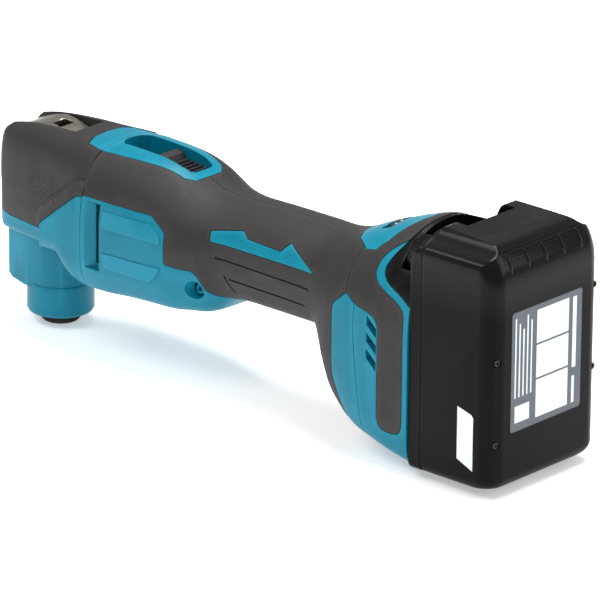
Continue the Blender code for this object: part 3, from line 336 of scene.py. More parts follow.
PLATEAU = surface("battery_matt", rgb(17, 16, 17), 0.40, 0.25, 2400.0, edge=1.2, specular=0.12)


# ---- mesh helpers -------------------------------------------------------------------
def add(name, shell, finish):
    """Links a finished bmesh, drawn in millimetres, as one object in metres."""
    bmesh.ops.scale(shell, vec=(MM, MM, MM), verts=shell.verts)
    mesh = bpy.data.meshes.new(name)
    shell.to_mesh(mesh)
    shell.free()
    made = bpy.data.objects.new(name + "_skin", mesh)
    mesh.materials.append(finish)
    PARTS.objects.link(made)
    return made


def loft(name, rings, finish):
    """Skins a row of rings that have the same number of points, and caps both ends."""
    shell = bmesh.new()
    rows = [[shell.verts.new(point) for point in ring] for ring in rings]
    count = len(rows[0])
    for lower, upper in zip(rows, rows[1:]):
        for k in range(count):
            after = (k + 1) % count
            shell.faces.new((lower[k], lower[after], upper[after], upper[k]))
    shell.faces.new(rows[0][::-1])
    shell.faces.new(rows[-1])
    bmesh.ops.triangulate(shell, faces=shell.faces)
    bmesh.ops.recalc_face_normals(shell, faces=shell.faces)
    return add(name, shell, finish)


def measure(mesh, reach=ATTEMPTS[0][1]):
    """Merges points nearer than reach; gives the volume, and whether it is closed."""
    shell = bmesh.new()
    shell.from_mesh(mesh)
    bmesh.ops.remove_doubles(shell, verts=shell.verts, dist=reach * MM)
    bmesh.ops.dissolve_degenerate(shell, edges=shell.edges, dist=reach / 2 * MM)
    bmesh.ops.triangulate(shell, faces=shell.faces)
    shell.to_mesh(mesh)
    volume = shell.calc_volume(signed=True)
    closed = all(edge.is_manifold for edge in shell.edges)
    shell.free()
    return volume, closed


def combine(target, tools, operation):
    """Applies one exact Boolean for each tool, again with a nudge if it isn't sound."""
    for tool in tools:
        before, other = measure(target.data)[0], measure(tool.data)[0]
        low, high = {"DIFFERENCE": (max(0, before - other), before),
                     "INTERSECT": (0, min(before, other)),
                     "UNION": (max(before, other), before + other)}[operation]
        slack = 0.002 * min(before, other)
        change = target.modifiers.new("cut", "BOOLEAN")
        change.operation = operation
        change.solver = "EXACT"
        change.object = tool
        for nudge, _ in ATTEMPTS:
            tool.location = Vector((nudge, -0.7 * nudge, 0.4 * nudge)) * MM
            graph = bpy.context.evaluated_depsgraph_get()
            result = bpy.data.meshes.new_from_object(target.evaluated_get(graph))
            after, closed = measure(result)
            if closed and low - slack < after < high + slack and after > 0:
                break
        target.modifiers.clear()
        target.data = result
        bpy.data.objects.remove(tool, do_unlink=True)
    return target


def tidy(target):
    target.data.shade_smooth()
    target.data.set_sharp_from_angle(angle=math.radians(28))
    return target


def prism(name, outline, axis, low, high, finish=BLACK):
    """Extrudes a flat outline along an axis: 'x' takes (y, z), 'y' (x, z), 'z' (x, y)."""
    order = {"x": lambda p, t: (t, p[0], p[1]),
             "y": lambda p, t: (p[0], t, p[1]),
             "z": lambda p, t: (p[0], p[1], t)}[axis]
    return loft(name, [[order(point, t) for point in outline] for t in (low, high)], finish)


def box(name, low, high, finish=BLACK, bevel=0.0):
    shell = bmesh.new()
    bmesh.ops.create_cube(shell, size=1.0)
    size = [b - a for a, b in zip(low, high)]
    middle = [(a + b) / 2 for a, b in zip(low, high)]
    bmesh.ops.scale(shell, vec=size, verts=shell.verts)
    bmesh.ops.translate(shell, vec=middle, verts=shell.verts)
    if bevel:
        bmesh.ops.bevel(shell, geom=shell.edges[:], offset=bevel, segments=2, profile=0.5,
                        affect="EDGES", clamp_overlap=True)
    return add(name, shell, finish)


def rod(name, start, end, radius, finish=STEEL, end_radius=None, sides=ROUND):
    """A cylinder or cone between two points."""
    start, end = Vector(start), Vector(end)
    along = end - start
    shell = bmesh.new()
    bmesh.ops.create_cone(shell, cap_ends=True, segments=sides, radius1=radius,
                          radius2=radius if end_radius is None else end_radius,
                          depth=along.length)
    turn = Vector((0, 0, 1)).rotation_difference(along.normalized()).to_matrix().to_4x4()
    bmesh.ops.transform(shell, matrix=Matrix.Translation((start + end) / 2) @ turn,
                        verts=shell.verts)
    return add(name, shell, finish)


def turned(name, profile, finish, axis="z", origin=(0, 0, 0), sides=ROUND):
    """Spins a closed profile of (radius, height) points about an axis."""
    shell = bmesh.new()
    corners = [shell.verts.new((radius, 0, height)) for radius, height in profile]
    edges = [shell.edges.new((a, b)) for a, b in zip(corners, corners[1:] + corners[:1])
             if a.co.x > 0 or b.co.x > 0]
    bmesh.ops.spin(shell, geom=corners + edges, cent=(0, 0, 0), axis=(0, 0, 1),
                   angle=2 * math.pi, steps=sides, use_merge=True)
    bmesh.ops.remove_doubles(shell, verts=shell.verts, dist=1e-5)
    bmesh.ops.recalc_face_normals(shell, faces=shell.faces)
    if axis == "x":
        bmesh.ops.rotate(shell, verts=shell.verts, matrix=Matrix.Rotation(math.pi / 2, 3, "Y"))
    bmesh.ops.translate(shell, verts=shell.verts, vec=origin)
    return add(name, shell, finish)


def cut(target, *tools):
    return combine(target, tools, "DIFFERENCE")


def keep(target, *tools):
    return combine(target, tools, "INTERSECT")


def join(target, *tools):
    return combine(target, tools, "UNION")


def grown(outline, amount):
    """Offsets a closed outline outwards by an amount, or inwards if it is negative."""
    points = [Vector(point) for point in outline]
    area = sum(a.x * b.y - b.x * a.y for a, b in zip(points, points[1:] + points[:1]))
    side = amount if area > 0 else -amount
    result = []
    for before, here, after in zip(points[-1:] + points[:-1], points, points[1:] + points[:1]):
        first = (here - before).normalized()
        second = (after - here).normalized()
        normal = Vector((first.y + second.y, -first.x - second.x))
        normal.normalize()
        lift = side / max(0.35, normal.dot(Vector((first.y, -first.x))))
        result.append(tuple(here + normal * lift))
    return result


def mirrored(half):
    """Completes a plan outline from the half that has y >= 0."""
    return half + [(x, -y) for x, y in half[::-1] if y > 0]


def smooth_table(table):
    """Rows at every STEP along the table, on a monotone curve through its own rows."""
    x = table[:, 0]
    gap, rise = np.diff(x)[:, None], np.diff(table[:, 1:], axis=0)
    secant = rise / gap
    slope = np.vstack([secant[:1], (secant[:-1] + secant[1:]) / 2, secant[-1:]])
    for k in range(1, len(x) - 1):
        turn = secant[k - 1] * secant[k] <= 0
        slope[k][turn] = 0.0
        limit = 3 * np.minimum(abs(secant[k - 1]), abs(secant[k]))
        slope[k] = np.clip(slope[k], -limit, limit)
    places = np.unique(np.concatenate([x, np.arange(x[0], x[-1], STEP)]))
    rows = []
    for place in places:
        k = min(len(x) - 2, max(0, int(np.searchsorted(x, place) - 1)))
        h = x[k + 1] - x[k]
        t = (place - x[k]) / h
        value = ((2 * t ** 3 - 3 * t ** 2 + 1) * table[k, 1:]
                 + (t ** 3 - 2 * t ** 2 + t) * h * slope[k]
                 + (3 * t ** 2 - 2 * t ** 3) * table[k + 1, 1:]
                 + (t ** 3 - t ** 2) * h * slope[k + 1])
        rows.append([place, *value])
    return np.array(rows)


BODY, HEAD = smooth_table(BODY), smooth_table(HEAD)


def section(x, inset, table):
    """One ring of the body at x, moved inwards by an inset."""
    top, bottom, half, middle, above, below = (
        np.interp(x, table[:, 0], table[:, k]) for k in range(1, 7))
    top, bottom, half = top - inset, bottom + inset, half - inset
    ring = []
    for k in range(RING):
        angle = math.pi / 2 + 2 * math.pi * k / RING
        across, up = math.cos(angle), math.sin(angle)
        power = 2 / (above if up >= 0 else below)
        height = top - middle if up >= 0 else middle - bottom
        ring.append((x, math.copysign(half * abs(across) ** power, across),
                     middle + math.copysign(height * abs(up) ** power, up)))
    return ring


def body(name, start, end, inset=0.0, finish=BLACK, table=BODY):
    inner = [x for x in table[:, 0] if start + 0.5 < x < end - 0.5]
    return loft(name, [section(x, inset, table) for x in [start, *inner, end]], finish)


SIDES = {"left": -1, "right": 1}

PIN_X, PIN_Z = 8.5, 92.0
SLOT_HALF = 9.8
COVER_WALL = 3.0
NECK_RADIUS = 15.4
BOSS_RADIUS = 16.2
BORE = 13.2
POCKET_HALF = 8.4
TUB_BOTTOM = 89.7
TUB_FLOOR = 91.2
DOCK_FRONT = 241.6
GUIDE_X, GUIDE_Y = 247.3, 27.3
DIAL_X, DIAL_Z = 215.6, 92.4
DIAL_RADIUS = 10.6
DIAL_HALF = 2.6
ROOF = 101.2
BAY_FLOOR = 102.8
TERMINAL_Y = (-9.0, 9.0)
SCREW_PLACES = [(-33.2, 65.7), (-33.2, 26.3), (33.2, 85.4), (33.2, 46.0)]
MAIN_SPACE = [(40.0, -5.0), (40.0, 130.0), *MAIN_JOINT]


def side_half(sign):
    """The space on one side of the plane where the two halves meet."""
    low, high = sorted((sign * GAP / 2, sign * 60.0))
    return box("half", (-60, low, -20), (330, high, 140))


def pods(name, inset, finish):
    """The wide part of the head beside the motor, on both sides."""
    face, root = grown(POD_FACE, -inset), grown(POD_ROOT, -inset)
    edge = 60.0
    slope = (26.0 - inset, 32.6 - inset)
    rows = [(face, -edge), (face, -slope[1]), (root, -slope[0]), (root, slope[0]),
            (face, slope[1]), (face, edge)]
    made = loft(name, [[(x, y, z) for x, z in outline] for outline, y in rows], finish)
    return keep(made, body("barrel", 9, 44.5, inset))


def head_shell(name, inset, finish):
    """The head's outer form: the slim front part and the wide part before the motor."""
    made = body(name, -27.4, 46, inset, finish, HEAD)
    keep(made, prism("side", grown(HEAD_SIDE, -inset), "y", -60, 60))
    join(made, pods("pods", inset, finish))
    end = HEAD_REAR + (4 if inset else 0)
    return keep(made, box("length", (-60, -60, -20), (end, 60, 140)))


def head_cover():
    made = head_shell("head_cover", 0, RUBBER)
    keep(made, prism("edge", grown(COVER_EDGE, -GAP / 2), "y", -60, 60))
    cut(made, head_shell("hollow", COVER_WALL, RUBBER))
    slot = [(-40, 71), (-18, 71), (-18, 80), (19.6, 80), (19.6, 120), (-40, 120)]
    cut(made, prism("trim_seat", grown(mirrored(BEZEL_PLAN), GAP), "z", 88, 126),
        prism("slot", slot, "y", -SLOT_HALF, SLOT_HALF))
    return tidy(made)


def lock_lever():
    """A flat lever that hooks over the front of the head, on a round hub."""
    outline = [(-24.0, 72.5), (-22.4, 71.4), (-20.8, 73.0), (-20.2, 85.5), (-16.0, 92.2),
               (-8.0, 94.4), (-4.0, 93.0), (PIN_X - 3.0, PIN_Z - 4.6), (PIN_X, PIN_Z - 5.6),
               (PIN_X + 4.0, PIN_Z - 3.9), (PIN_X + 5.6, PIN_Z), (PIN_X + 4.2, PIN_Z + 3.8),
               (PIN_X, PIN_Z + 5.6), (2.0, 99.2), (-4.0, 99.8), (-11.5, 98.2), (-18.0, 95.6),
               (-23.4, 87.4), (-24.4, 80.0)]
    made = prism("lock_lever", outline, "y", -8.9, 8.9, STEEL)
    cut(made, rod("bore", (PIN_X, -12, PIN_Z), (PIN_X, 12, PIN_Z), 2.3),
        box("window", (-1.0, -4.4, 80), (4.4, 4.4, 110)))
    return tidy(made)


def head_trim():
    """The teal nose of the switch surround, on the head's side of the joint."""
    made = body("head_trim", 28, HEAD_REAR, 0, TEAL)
    keep(made, prism("plan", mirrored(BEZEL_PLAN), "z", 94, 130))
    cut(made, body("inner", 20, 60, COVER_WALL))
    return tidy(made)


def gear_housing():
    """The upper part of the gear housing, with the wide part beside the motor."""
    made = head_shell("gear_housing", 0, TEAL)
    return tidy(cut(made, head_shell("hollow", COVER_WALL, TEAL),
                    prism("cover_side", grown(COVER_EDGE, GAP / 2), "y", -60, 60),
                    rod("mouth", (0, 0, 30), (0, 0, 60), BORE)))


def neck_form(name, top, inset):
    """The neck, a flat-fronted nose that runs back into a round column."""
    plan = [(-22.9, 0.0), (-22.9, 11.0), (-21.2, 13.6), (-8.0, NECK_RADIUS)]
    plan += [(NECK_RADIUS * math.sin(t), NECK_RADIUS * math.cos(t))
             for t in np.linspace(0, math.pi / 2, 9)]
    side = [(-22.9, 24.0), (-22.9, top + inset), (30.0, top + inset), (30.0, 18.6),
            (-10.0, 18.6), (-19.0, 19.8), (-22.0, 22.4)]
    made = prism(name, grown(mirrored(plan), -inset), "z", 0, 90, TEAL)
    return keep(made, prism("side", grown(side, -inset), "y", -30, 30))


def spindle_housing():
    """The lower part: neck, boss and the bore of the spindle's lower bearing."""
    made = neck_form("spindle_housing", HEAD_FLOOR - GAP, 0)
    boss = turned("boss", [(0, 4.6), (13.0, 4.6), (15.4, 5.2), (BOSS_RADIUS, 6.6),
                           (BOSS_RADIUS, 18.2), (15.7, 20.4), (0, 20.4)], TEAL,
                  sides=FINE_ROUND)
    join(made, boss)
    return tidy(cut(made, neck_form("hollow", 60, COVER_WALL),
                    rod("seat", (0, 0, 11.0), (0, 0, 60), BORE, sides=FINE_ROUND),
                    rod("mouth", (0, 0, 0), (0, 0, 60), 9.6, sides=FINE_ROUND)))


def tool_holder():
    """The knurled flange under the spindle that the blade seats on."""
    made = turned("tool_holder", [(3.6, 2.6), (7.4, 2.6), (7.4, 0), (8.6, 0), (9.2, 0.7),
                                  (9.2, 5.0), (8.4, 5.8), (3.6, 5.8)], DARK_STEEL,
                  sides=24)
    return tidy(made)


def rubber_space():
    """The layer that the rubber fills: between the skin and the housing."""
    made = body("layer", MAIN_FRONT - 3, 250, -1.5)
    cut(made, body("core", MAIN_FRONT - 9, 260, SKIN + GAP))
    cut(made, prism("motor_panel", MOTOR_PANEL, "y", -60, 60),
        prism("rear_panel", REAR_PANEL, "y", -60, 60))
    return made


def housing(side):
    """One half of the main housing: motor barrel, handle and the start of the flare."""
    sign = SIDES[side]
    made = body("housing_" + side, MAIN_FRONT, 232, 0, TEAL)
    keep(made, side_half(sign), prism("main", MAIN_SPACE, "y", -60, 60))
    cut(made, rubber_space(), body("hollow", MAIN_FRONT - 9, 250, WALL))
    cut(made, prism("bezel", grown(mirrored(BEZEL_PLAN), GAP), "z", 86, 130),
        prism("cap", grown(mirrored(CAP_PLAN), GAP), "z", CAP_LOW - GAP, 130))
    cut(made, box("vent", (51.0, min(sign * 20, sign * 60), 48.4),
                  (55.8, max(sign * 20, sign * 60), 77.8)))
    cut(made, rod("screw_recess", (112.0, sign * 20.6, 49.6), (112.0, sign * 34, 49.6), 3.0,
                  end_radius=6.5))
    return tidy(made)


def grip(side):
    """The rubber moulded over one half, cut round the teal panels and the switch."""
    sign = SIDES[side]
    made = body("grip_" + side, MAIN_FRONT, 232, 0, RUBBER)
    keep(made, side_half(sign), prism("main", MAIN_SPACE, "y", -60, 60))
    cut(made, body("core", MAIN_FRONT - 9, 250, SKIN),
        prism("motor_panel", grown(MOTOR_PANEL, GAP), "y", -60, 60),
        prism("rear_panel", grown(REAR_PANEL, GAP), "y", -60, 60),
        prism("bezel", grown(mirrored(BEZEL_PLAN), GAP), "z", 86, 130),
        prism("cap", grown(mirrored(CAP_PLAN), GAP), "z", CAP_LOW - GAP, 130),
        prism("arrow", grown(HANDLE_ARROW, GAP), "y", min(sign * 8, sign * 60),
              max(sign * 8, sign * 60)))
    return tidy(made)


def grip_inlay(side):
    sign = SIDES[side]
    made = body("grip_inlay_" + side, 112, 190, 0, TEAL)
    keep(made, prism("arrow", HANDLE_ARROW, "y", min(sign * 8, sign * 60),
                     max(sign * 8, sign * 60)))
    cut(made, body("core", 100, 200, SKIN))
    return tidy(made)


def switch_bezel():
    """The teal surround, a shallow tub that the slider runs in."""
    made = body("switch_bezel", MAIN_FRONT, 99, 0, TEAL)
    keep(made, prism("plan", mirrored(BEZEL_PLAN), "z", TUB_BOTTOM, 130))
    shell = body("under", MAIN_FRONT - 9, 110, WALL - 1.0)
    tub = box("tub", (44.6, -10.4, 80), (94.6, 10.4, 120))
    cut(made, cut(shell, tub))
    pocket = [(45.6, 0), (46.6, 5.0), (50.0, POCKET_HALF), (86.0, POCKET_HALF),
              (91.4, POCKET_HALF - 1.2), (92.6, 5.4), (92.8, 0)]
    cut(made, box("slot", (61.6, -1.9, 84), (78.4, 1.9, 96)),
        prism("pocket", mirrored(pocket), "z", TUB_FLOOR, 130))
    return tidy(made)


def switch_slider():
    """The on-off slide: ribbed back, raised ridge and a post through the tub's floor."""
    side_view = [(57.0, 91.5), (57.0, 93.6), (64.4, 94.4), (66.0, 99.0), (68.6, 100.2),
                 (72.4, 99.2), (74.0, 96.4), (91.0, 94.6), (91.0, 91.5)]
    made = prism("switch_slider", side_view, "y", -POCKET_HALF, POCKET_HALF)
    plan = [(56.0, 0.0), (56.0, 6.9), (57.0, 7.9), (85.6, 7.9), (90.6, 6.6), (92.0, 4.6),
            (92.0, 0.0)]
    keep(made, prism("plan", mirrored(plan), "z", 80, 120))
    for k in range(5):
        x = 76.6 + 2.9 * k
        join(made, box("rib", (x - 0.6, -6.8, 94.0), (x + 0.6, 6.8, 97.3 - 0.32 * k)))
    join(made, box("post", (71.6, -1.5, 89.3), (77.4, 1.5, 92.5)))
    return tidy(made)


def dock():
    """The space behind the rear wall, a T-slot that the battery's rails slide in."""
    made = box("dock", (DOCK_FRONT, -30.5, 10), (GUIDE_X, 30.5, 125))
    return join(made, box("throat", (GUIDE_X - 1, -GUIDE_Y, 10), (256, GUIDE_Y, 125)))


def rear_form(name, inset, finish):
    """The flare behind the joint, closed by the rim that the battery's nose fills."""
    made = body(name, 205, REAR_FACE, inset, finish)
    outline = [*MAIN_JOINT[::-1], (260.0, 130.0), (260.0, -5.0)]
    keep(made, prism("rear", grown(outline, -GAP), "y", -60, 60))
    return cut(made, prism("rim", RIM, "y", -60, 60))


def dock_nose():
    """The black glossy surround of the battery's dock, inside the rim."""
    made = body("dock_nose", 226, REAR_FACE, GAP, BLACK)
    return tidy(cut(keep(made, prism("rim", grown(RIM, -GAP), "y", -60, 60)), dock()))


def rear_housing(side):
    """One half of the rear housing with the battery's guide on its rear wall."""
    sign = SIDES[side]
    made = rear_form("rear_housing_" + side, 0, TEAL)
    keep(made, side_half(sign))
    layer = body("layer", 200, 262, -1.5)
    cut(layer, body("core", 195, 268, SKIN + GAP))
    keep(layer, prism("collar", COLLAR, "y", -60, 60))
    cut(made, layer, body("hollow", 190, 236.6, 3.6 + SKIN),
        dock(), prism("cap", grown(mirrored(CAP_PLAN), GAP), "z", CAP_LOW - GAP, 130))
    for k in range(3):
        low = 66.4 - 8.0 * k
        slot = [(228.0, low + 4.6), (228.0, low), (233.9, low - 5.2), (233.9, low - 0.8)]
        cut(made, prism("vent", slot, "y", min(sign * 20, sign * 60),
                        max(sign * 20, sign * 60)))
    return tidy(made)


def rear_bumper(side):
    """The black rubber collar and side bumper of one half."""
    sign = SIDES[side]
    made = rear_form("rear_bumper_" + side, 0, RUBBER)
    keep(made, side_half(sign), prism("collar", grown(COLLAR, -GAP), "y", -60, 60))
    cut(made, body("core", 190, 268, SKIN), dock(),
        prism("cap", grown(mirrored(CAP_PLAN), GAP), "z", CAP_LOW - GAP, 130))
    return tidy(made)


def dial_cap():
    """The teal cap over the dial, with the window that its rim shows through."""
    made = body("dial_cap", 190, 240, 0, TEAL)
    keep(made, prism("plan", mirrored(CAP_PLAN), "z", CAP_LOW, 130))
    cut(made, body("core", 180, 250, SKIN + 0.4),
        box("window", (DIAL_X - 3.4, -11.2, 80), (DIAL_X + 3.4, 11.2, 120)))
    return tidy(made)


def speed_dial():
    made = rod("speed_dial", (DIAL_X - DIAL_HALF, 0, DIAL_Z), (DIAL_X + DIAL_HALF, 0, DIAL_Z),
               DIAL_RADIUS, BLACK, sides=36)
    cut(made, rod("bore", (DIAL_X - 9, 0, DIAL_Z), (DIAL_X + 9, 0, DIAL_Z), 2.2))
    return tidy(made)


TOP_RUN, TOP_RISE = 12.0, 20.0   # the round from the flat top down to the rear face
TOP_START = BATTERY_TOP - 1.0 - TOP_RISE
FOOT_ROUND = 7.0
CORNER_ROUND = 9.0
TUB_FRONT = 240.0


def crown(amount=0.0):
    """The battery seen from behind: rounded corners and shoulders below the top."""
    half = [(0.0, BATTERY_BOTTOM), (33.0, BATTERY_BOTTOM), (35.6, 3.8), (37.0, 5.4),
            (BATTERY_HALF, 8.0), (BATTERY_HALF, 107.8), (36.6, 110.6), (34.0, 112.4),
            (29.0, 114.2), (24.4, BATTERY_TOP + 0.4), (0.0, BATTERY_TOP + 0.4)]
    outline = [(y, z) for y, z in half] + [(-y, z) for y, z in half[::-1] if y > 0]
    return grown(outline, amount)


def top_curve():
    """The side view's large round from the flat top down to the rear face."""
    return [(BATTERY_REAR - TOP_RUN + TOP_RUN * math.sin(t), TOP_START + TOP_RISE * math.cos(t))
            for t in np.linspace(0, math.radians(90), 26)]


def tub_ring(z, rear, half, radius):
    """The case's outline at one height, with its two rear corners rounded."""
    turns = np.linspace(0, math.radians(90), 14)
    side = [(TUB_FRONT, half)]
    side += [(rear - radius * (1 - math.sin(t)), half - radius * (1 - math.cos(t)))
             for t in turns]
    return [(x, y, z) for x, y in side] + [(x, -y, z) for x, y in side[::-1]]


def tub():
    """The case's outer form: round at the foot, the rear corners and the top."""
    rear, half = BATTERY_REAR + 0.05, BATTERY_HALF + 0.05
    rings = []
    for t in np.linspace(0, math.radians(90), 10):
        rise, inset = FOOT_ROUND * (1 - math.cos(t)), FOOT_ROUND * (1 - math.sin(t))
        rings.append(tub_ring(BATTERY_BOTTOM + rise, rear - inset, half - 0.7 * inset,
                              CORNER_ROUND))
    for t in np.linspace(0, math.radians(84), 14):
        lean = 1 - math.cos(t)
        rings.append(tub_ring(TOP_START + TOP_RISE * math.sin(t), rear - (TOP_RUN - 0.1) * lean,
                              half, CORNER_ROUND + 7.0 * lean))
    rings.append(tub_ring(130.0, rear - TOP_RUN, half, CORNER_ROUND + 7.0))
    return loft("tub", rings, SHELL)


def battery_case():
    """The open tray that holds the cells, with the round top and the rear face."""
    outline = [(260.4, -5.0), (260.4, 117.4), (262.4, BATTERY_TOP), *top_curve(),
               (BATTERY_REAR, -5.0)]
    made = prism("battery_case", soften(outline, 1.2), "y", -50, 50)
    keep(made, prism("crown", soften(crown(), 4.0), "x", 250, 310), tub())
    inner = [(250.0, 8.6), (250.0, ROOF), (298.4, ROOF), (299.4, ROOF - 1), (299.4, 8.6)]
    cut(made, prism("hollow", inner, "y", -34.4, 34.4),
        box("button_bay", (250, -16.6, BAY_FLOOR), (268.4, 16.6, 130)))
    for y, z in SCREW_PLACES:
        cut(made, rod("screw_well", (300.3, y, z), (310, y, z), 1.9, sides=12),
            rod("screw_hole", (295, y, z), (305, y, z), 1.2, sides=8))
    return tidy(made)


def battery_cover():
    """The battery's front: the plate below the two horns of the top, and the rails."""
    made = prism("battery_cover", crown(-0.1), "x", 250.0, 260.0)
    front = [(BATTERY_FRONT, -5.0), (BATTERY_FRONT, 103.6), (256.0, 109.0), (258.8, 115.4),
             (260.0, 117.0), (264.0, 118.0), (264.0, -5.0)]
    keep(made, prism("front", front, "y", -50, 50))
    nose = body("nose", DOCK_FRONT + GAP, 256.0, GAP)
    join(made, keep(nose, box("channel", (240, GAP - GUIDE_Y, 86.0), (257, GUIDE_Y - GAP, 130))))
    for sign in (-1, 1):
        join(made, box("rail", (246.0, min(sign * 21, sign * 27), 13.0),
                       (255.0, max(sign * 21, sign * 27), 84.0)))
        join(made, box("lip", (244.0, min(sign * 21, sign * 29.4), 13.0),
                       (247.0, max(sign * 21, sign * 29.4), 84.0)))
    cut(made, box("button_bay", (243.0, -16.6, BAY_FLOOR), (270.0, 16.6, 130)))
    for y in TERMINAL_Y:
        cut(made, box("terminal_slot", (252, y - 1.5, -5), (262, y + 1.5, 74)))
    return tidy(made)


def release_button():
    """The push button in the notch at the battery's top."""
    low = BAY_FLOOR + GAP
    outline = [(250.0, low), (250.0, 105.4), (253.0, 108.6), (262.0, 112.4), (264.6, 111.8),
               (264.6, low)]
    made = prism("battery_button", outline, "y", -15.8, 15.8)
    return tidy(cut(made, box("spring_seat", (261.0, -2.8, 103.9), (266, 2.8, 109.5))))


# ---- putting the skins on -----------------------------------------------------------
def dress(made, ride, slot, *nodes):
    """Makes a piece ride on a body and stand for CAD nodes."""
    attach(made, ride)
    if nodes:
        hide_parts(*nodes)
    return made


def other_side(made, name):
    """The same piece mirrored to the tool's right side."""
    mesh = made.data.copy()
    shell = bmesh.new()
    shell.from_mesh(mesh)
    bmesh.ops.scale(shell, vec=(1, -1, 1), verts=shell.verts)
    bmesh.ops.reverse_faces(shell, faces=shell.faces)
    shell.to_mesh(mesh)
    shell.free()
    copy = bpy.data.objects.new(name, mesh)
    PARTS.objects.link(copy)
    return tidy(copy)


def both(made, name, slot, *nodes):
    """A left piece and its mirror image, each for the CAD node of its side."""
    right = other_side(made, name + "_right_skin")
    dress(made, "tool", slot, *(n + "_left" for n in nodes))
    dress(right, "tool", slot, *(n + "_right" for n in nodes))


def layer_band(name, outline, start, end, out, deep, low, high, finish):
    """A thin piece of the body's own surface inside a side view outline."""
    made = body(name, start, end, -out, finish)
    keep(made, prism("outline", outline, "y", low, high))
    return cut(made, body("core", start - 8, end + 8, deep))


PANEL_RIBS = ([(58.3, 77.0), (87.3, 77.0), (93.6, 72.2), (94.3, 68.8), (57.6, 68.5)],
              [(58.3, 56.2), (94.4, 57.3), (91.0, 51.6), (87.5, 48.8), (58.7, 48.9)])


def head():
    made = head_cover()
    made.data.materials[0] = HEAD_RUBBER
    dress(made, "tool", "soft_grip", "head_cover")
    band = head_shell("head_band", -0.6, HEAD_RUBBER)
    outline = soften([(17.0, 61.2), (19.0, 62.4), (40.7, 80.3), (46.0, 80.9), (46.0, 86.8),
                      (38.6, 86.0), (14.6, 66.4), (13.8, 62.0)], 1.6)
    keep(band, prism("band", outline, "y", -60, 60))
    dress(tidy(cut(band, head_shell("core", 0.8, RUBBER))), "tool", "soft_grip")
    dress(gear_housing(), "tool", "teal_plastic", "gear_housing")
    dress(spindle_housing(), "tool", "teal_plastic", "spindle_housing")
    dress(head_trim(), "tool", "teal_plastic", "head_trim")
    lever = lock_lever()
    bevel_edges(lever, 0.9)
    dress(lever, "lever", "steel", "lock_lever")


def bevel_edges(made, width, segments=3):
    """Rounds every sharp edge of a piece."""
    change = made.modifiers.new("round", "BEVEL")
    change.width = width * MM
    change.segments = segments
    change.limit_method = "ANGLE"
    change.angle_limit = math.radians(35)
    change.use_clamp_overlap = True
    return made


TEETH, TEETH_RADIUS = 48, 9.2


def holder():
    """The knurled flange, with a band of teeth round it."""
    made = tool_holder()
    for k in range(TEETH):
        angle = 2 * math.pi * k / TEETH
        x, y = TEETH_RADIUS * math.cos(angle), TEETH_RADIUS * math.sin(angle)
        tooth = rod("tooth", (x, y, 1.0), (x, y, 4.4), 0.36, DARK_STEEL, sides=6)
        tooth.name = "holder_tooth_%02d" % k
        dress(tooth, "spindle", "dark_steel")
    dress(made, "spindle", "dark_steel", "tool_holder")


def motor():
    """The housing beside the motor, with its vent and the two pads on its panel."""
    shell = housing("left")
    wedge = prism("wedge", [(46.6, -40), (46.6, -32.6), (51.4, -28.6), (56.2, -28.6),
                            (56.2, -40)], "z", 46.4, 79.4)
    cut(shell, wedge)
    both(tidy(shell), "housing", "teal_plastic", "housing")
    for k, outline in enumerate(PANEL_RIBS):
        pad = layer_band("panel_rib_%d" % k, soften(outline, 1.2), 50, 100, 0.4, 0.6, -60, -20,
                         TEAL)
        both(tidy(pad), "panel_rib_%d" % k, "teal_plastic")


GRIP_GROOVES = ([(122.7, 68.6), (180.6, 67.6), (180.6, 66.9), (122.7, 67.9)],
                [(130.2, 59.4), (177.1, 58.5), (177.1, 57.7), (130.2, 58.6)],
                [(127.2, 60.3), (128.0, 60.3), (131.6, 51.7), (130.8, 51.7)])


def handle():
    """The rubber of the handle, with its grooves and the arrow let into it."""
    made = grip("left")
    for line in GRIP_GROOVES:
        cut(made, layer_band("groove", line, 110, 192, 2.0, 0.7, -60, -8, RUBBER))
    both(tidy(made), "grip", "soft_grip", "grip")
    both(grip_inlay("left"), "grip_inlay", "teal_plastic", "grip_inlay")


def rear():
    """The rear housing, its bumpers, the battery's dock and the speed dial."""
    both(rear_housing("left"), "rear_housing", "teal_plastic", "rear_housing")
    both(rear_bumper("left"), "rear_bumper", "soft_grip", "rear_bumper")
    nose = dock_nose()
    nose.data.materials[0] = GLOSS
    dress(nose, "tool", "battery_shell", "dock_nose")
    dress(dial_cap(), "tool", "teal_plastic", "dial_cap")
    dress(speed_dial(), "dial", "black_plastic", "speed_dial")
    for k in range(7):
        angle = math.radians(-60 + 20 * k)
        top = Vector((DIAL_X, DIAL_RADIUS * math.sin(angle),
                      DIAL_Z + DIAL_RADIUS * math.cos(angle)))
        tick = box("tick", (-1.2, -0.25, -0.1), (1.2, 0.25, 0.18), PRINT, 0.08)
        tick.data.transform(Matrix.Translation(top * MM) @ Matrix.Rotation(-angle, 4, "X"))
        tick.name = "dial_tick_%d" % k
        dress(tick, "dial", "black_plastic")


def switch():
    """The teal surround and the ribbed slide switch in it."""
    dress(switch_bezel(), "tool", "teal_plastic", "switch_bezel")
    slider = switch_slider()
    bevel_edges(slider, 0.35)
    dress(slider, "switch", "black_plastic", "switch_slider")


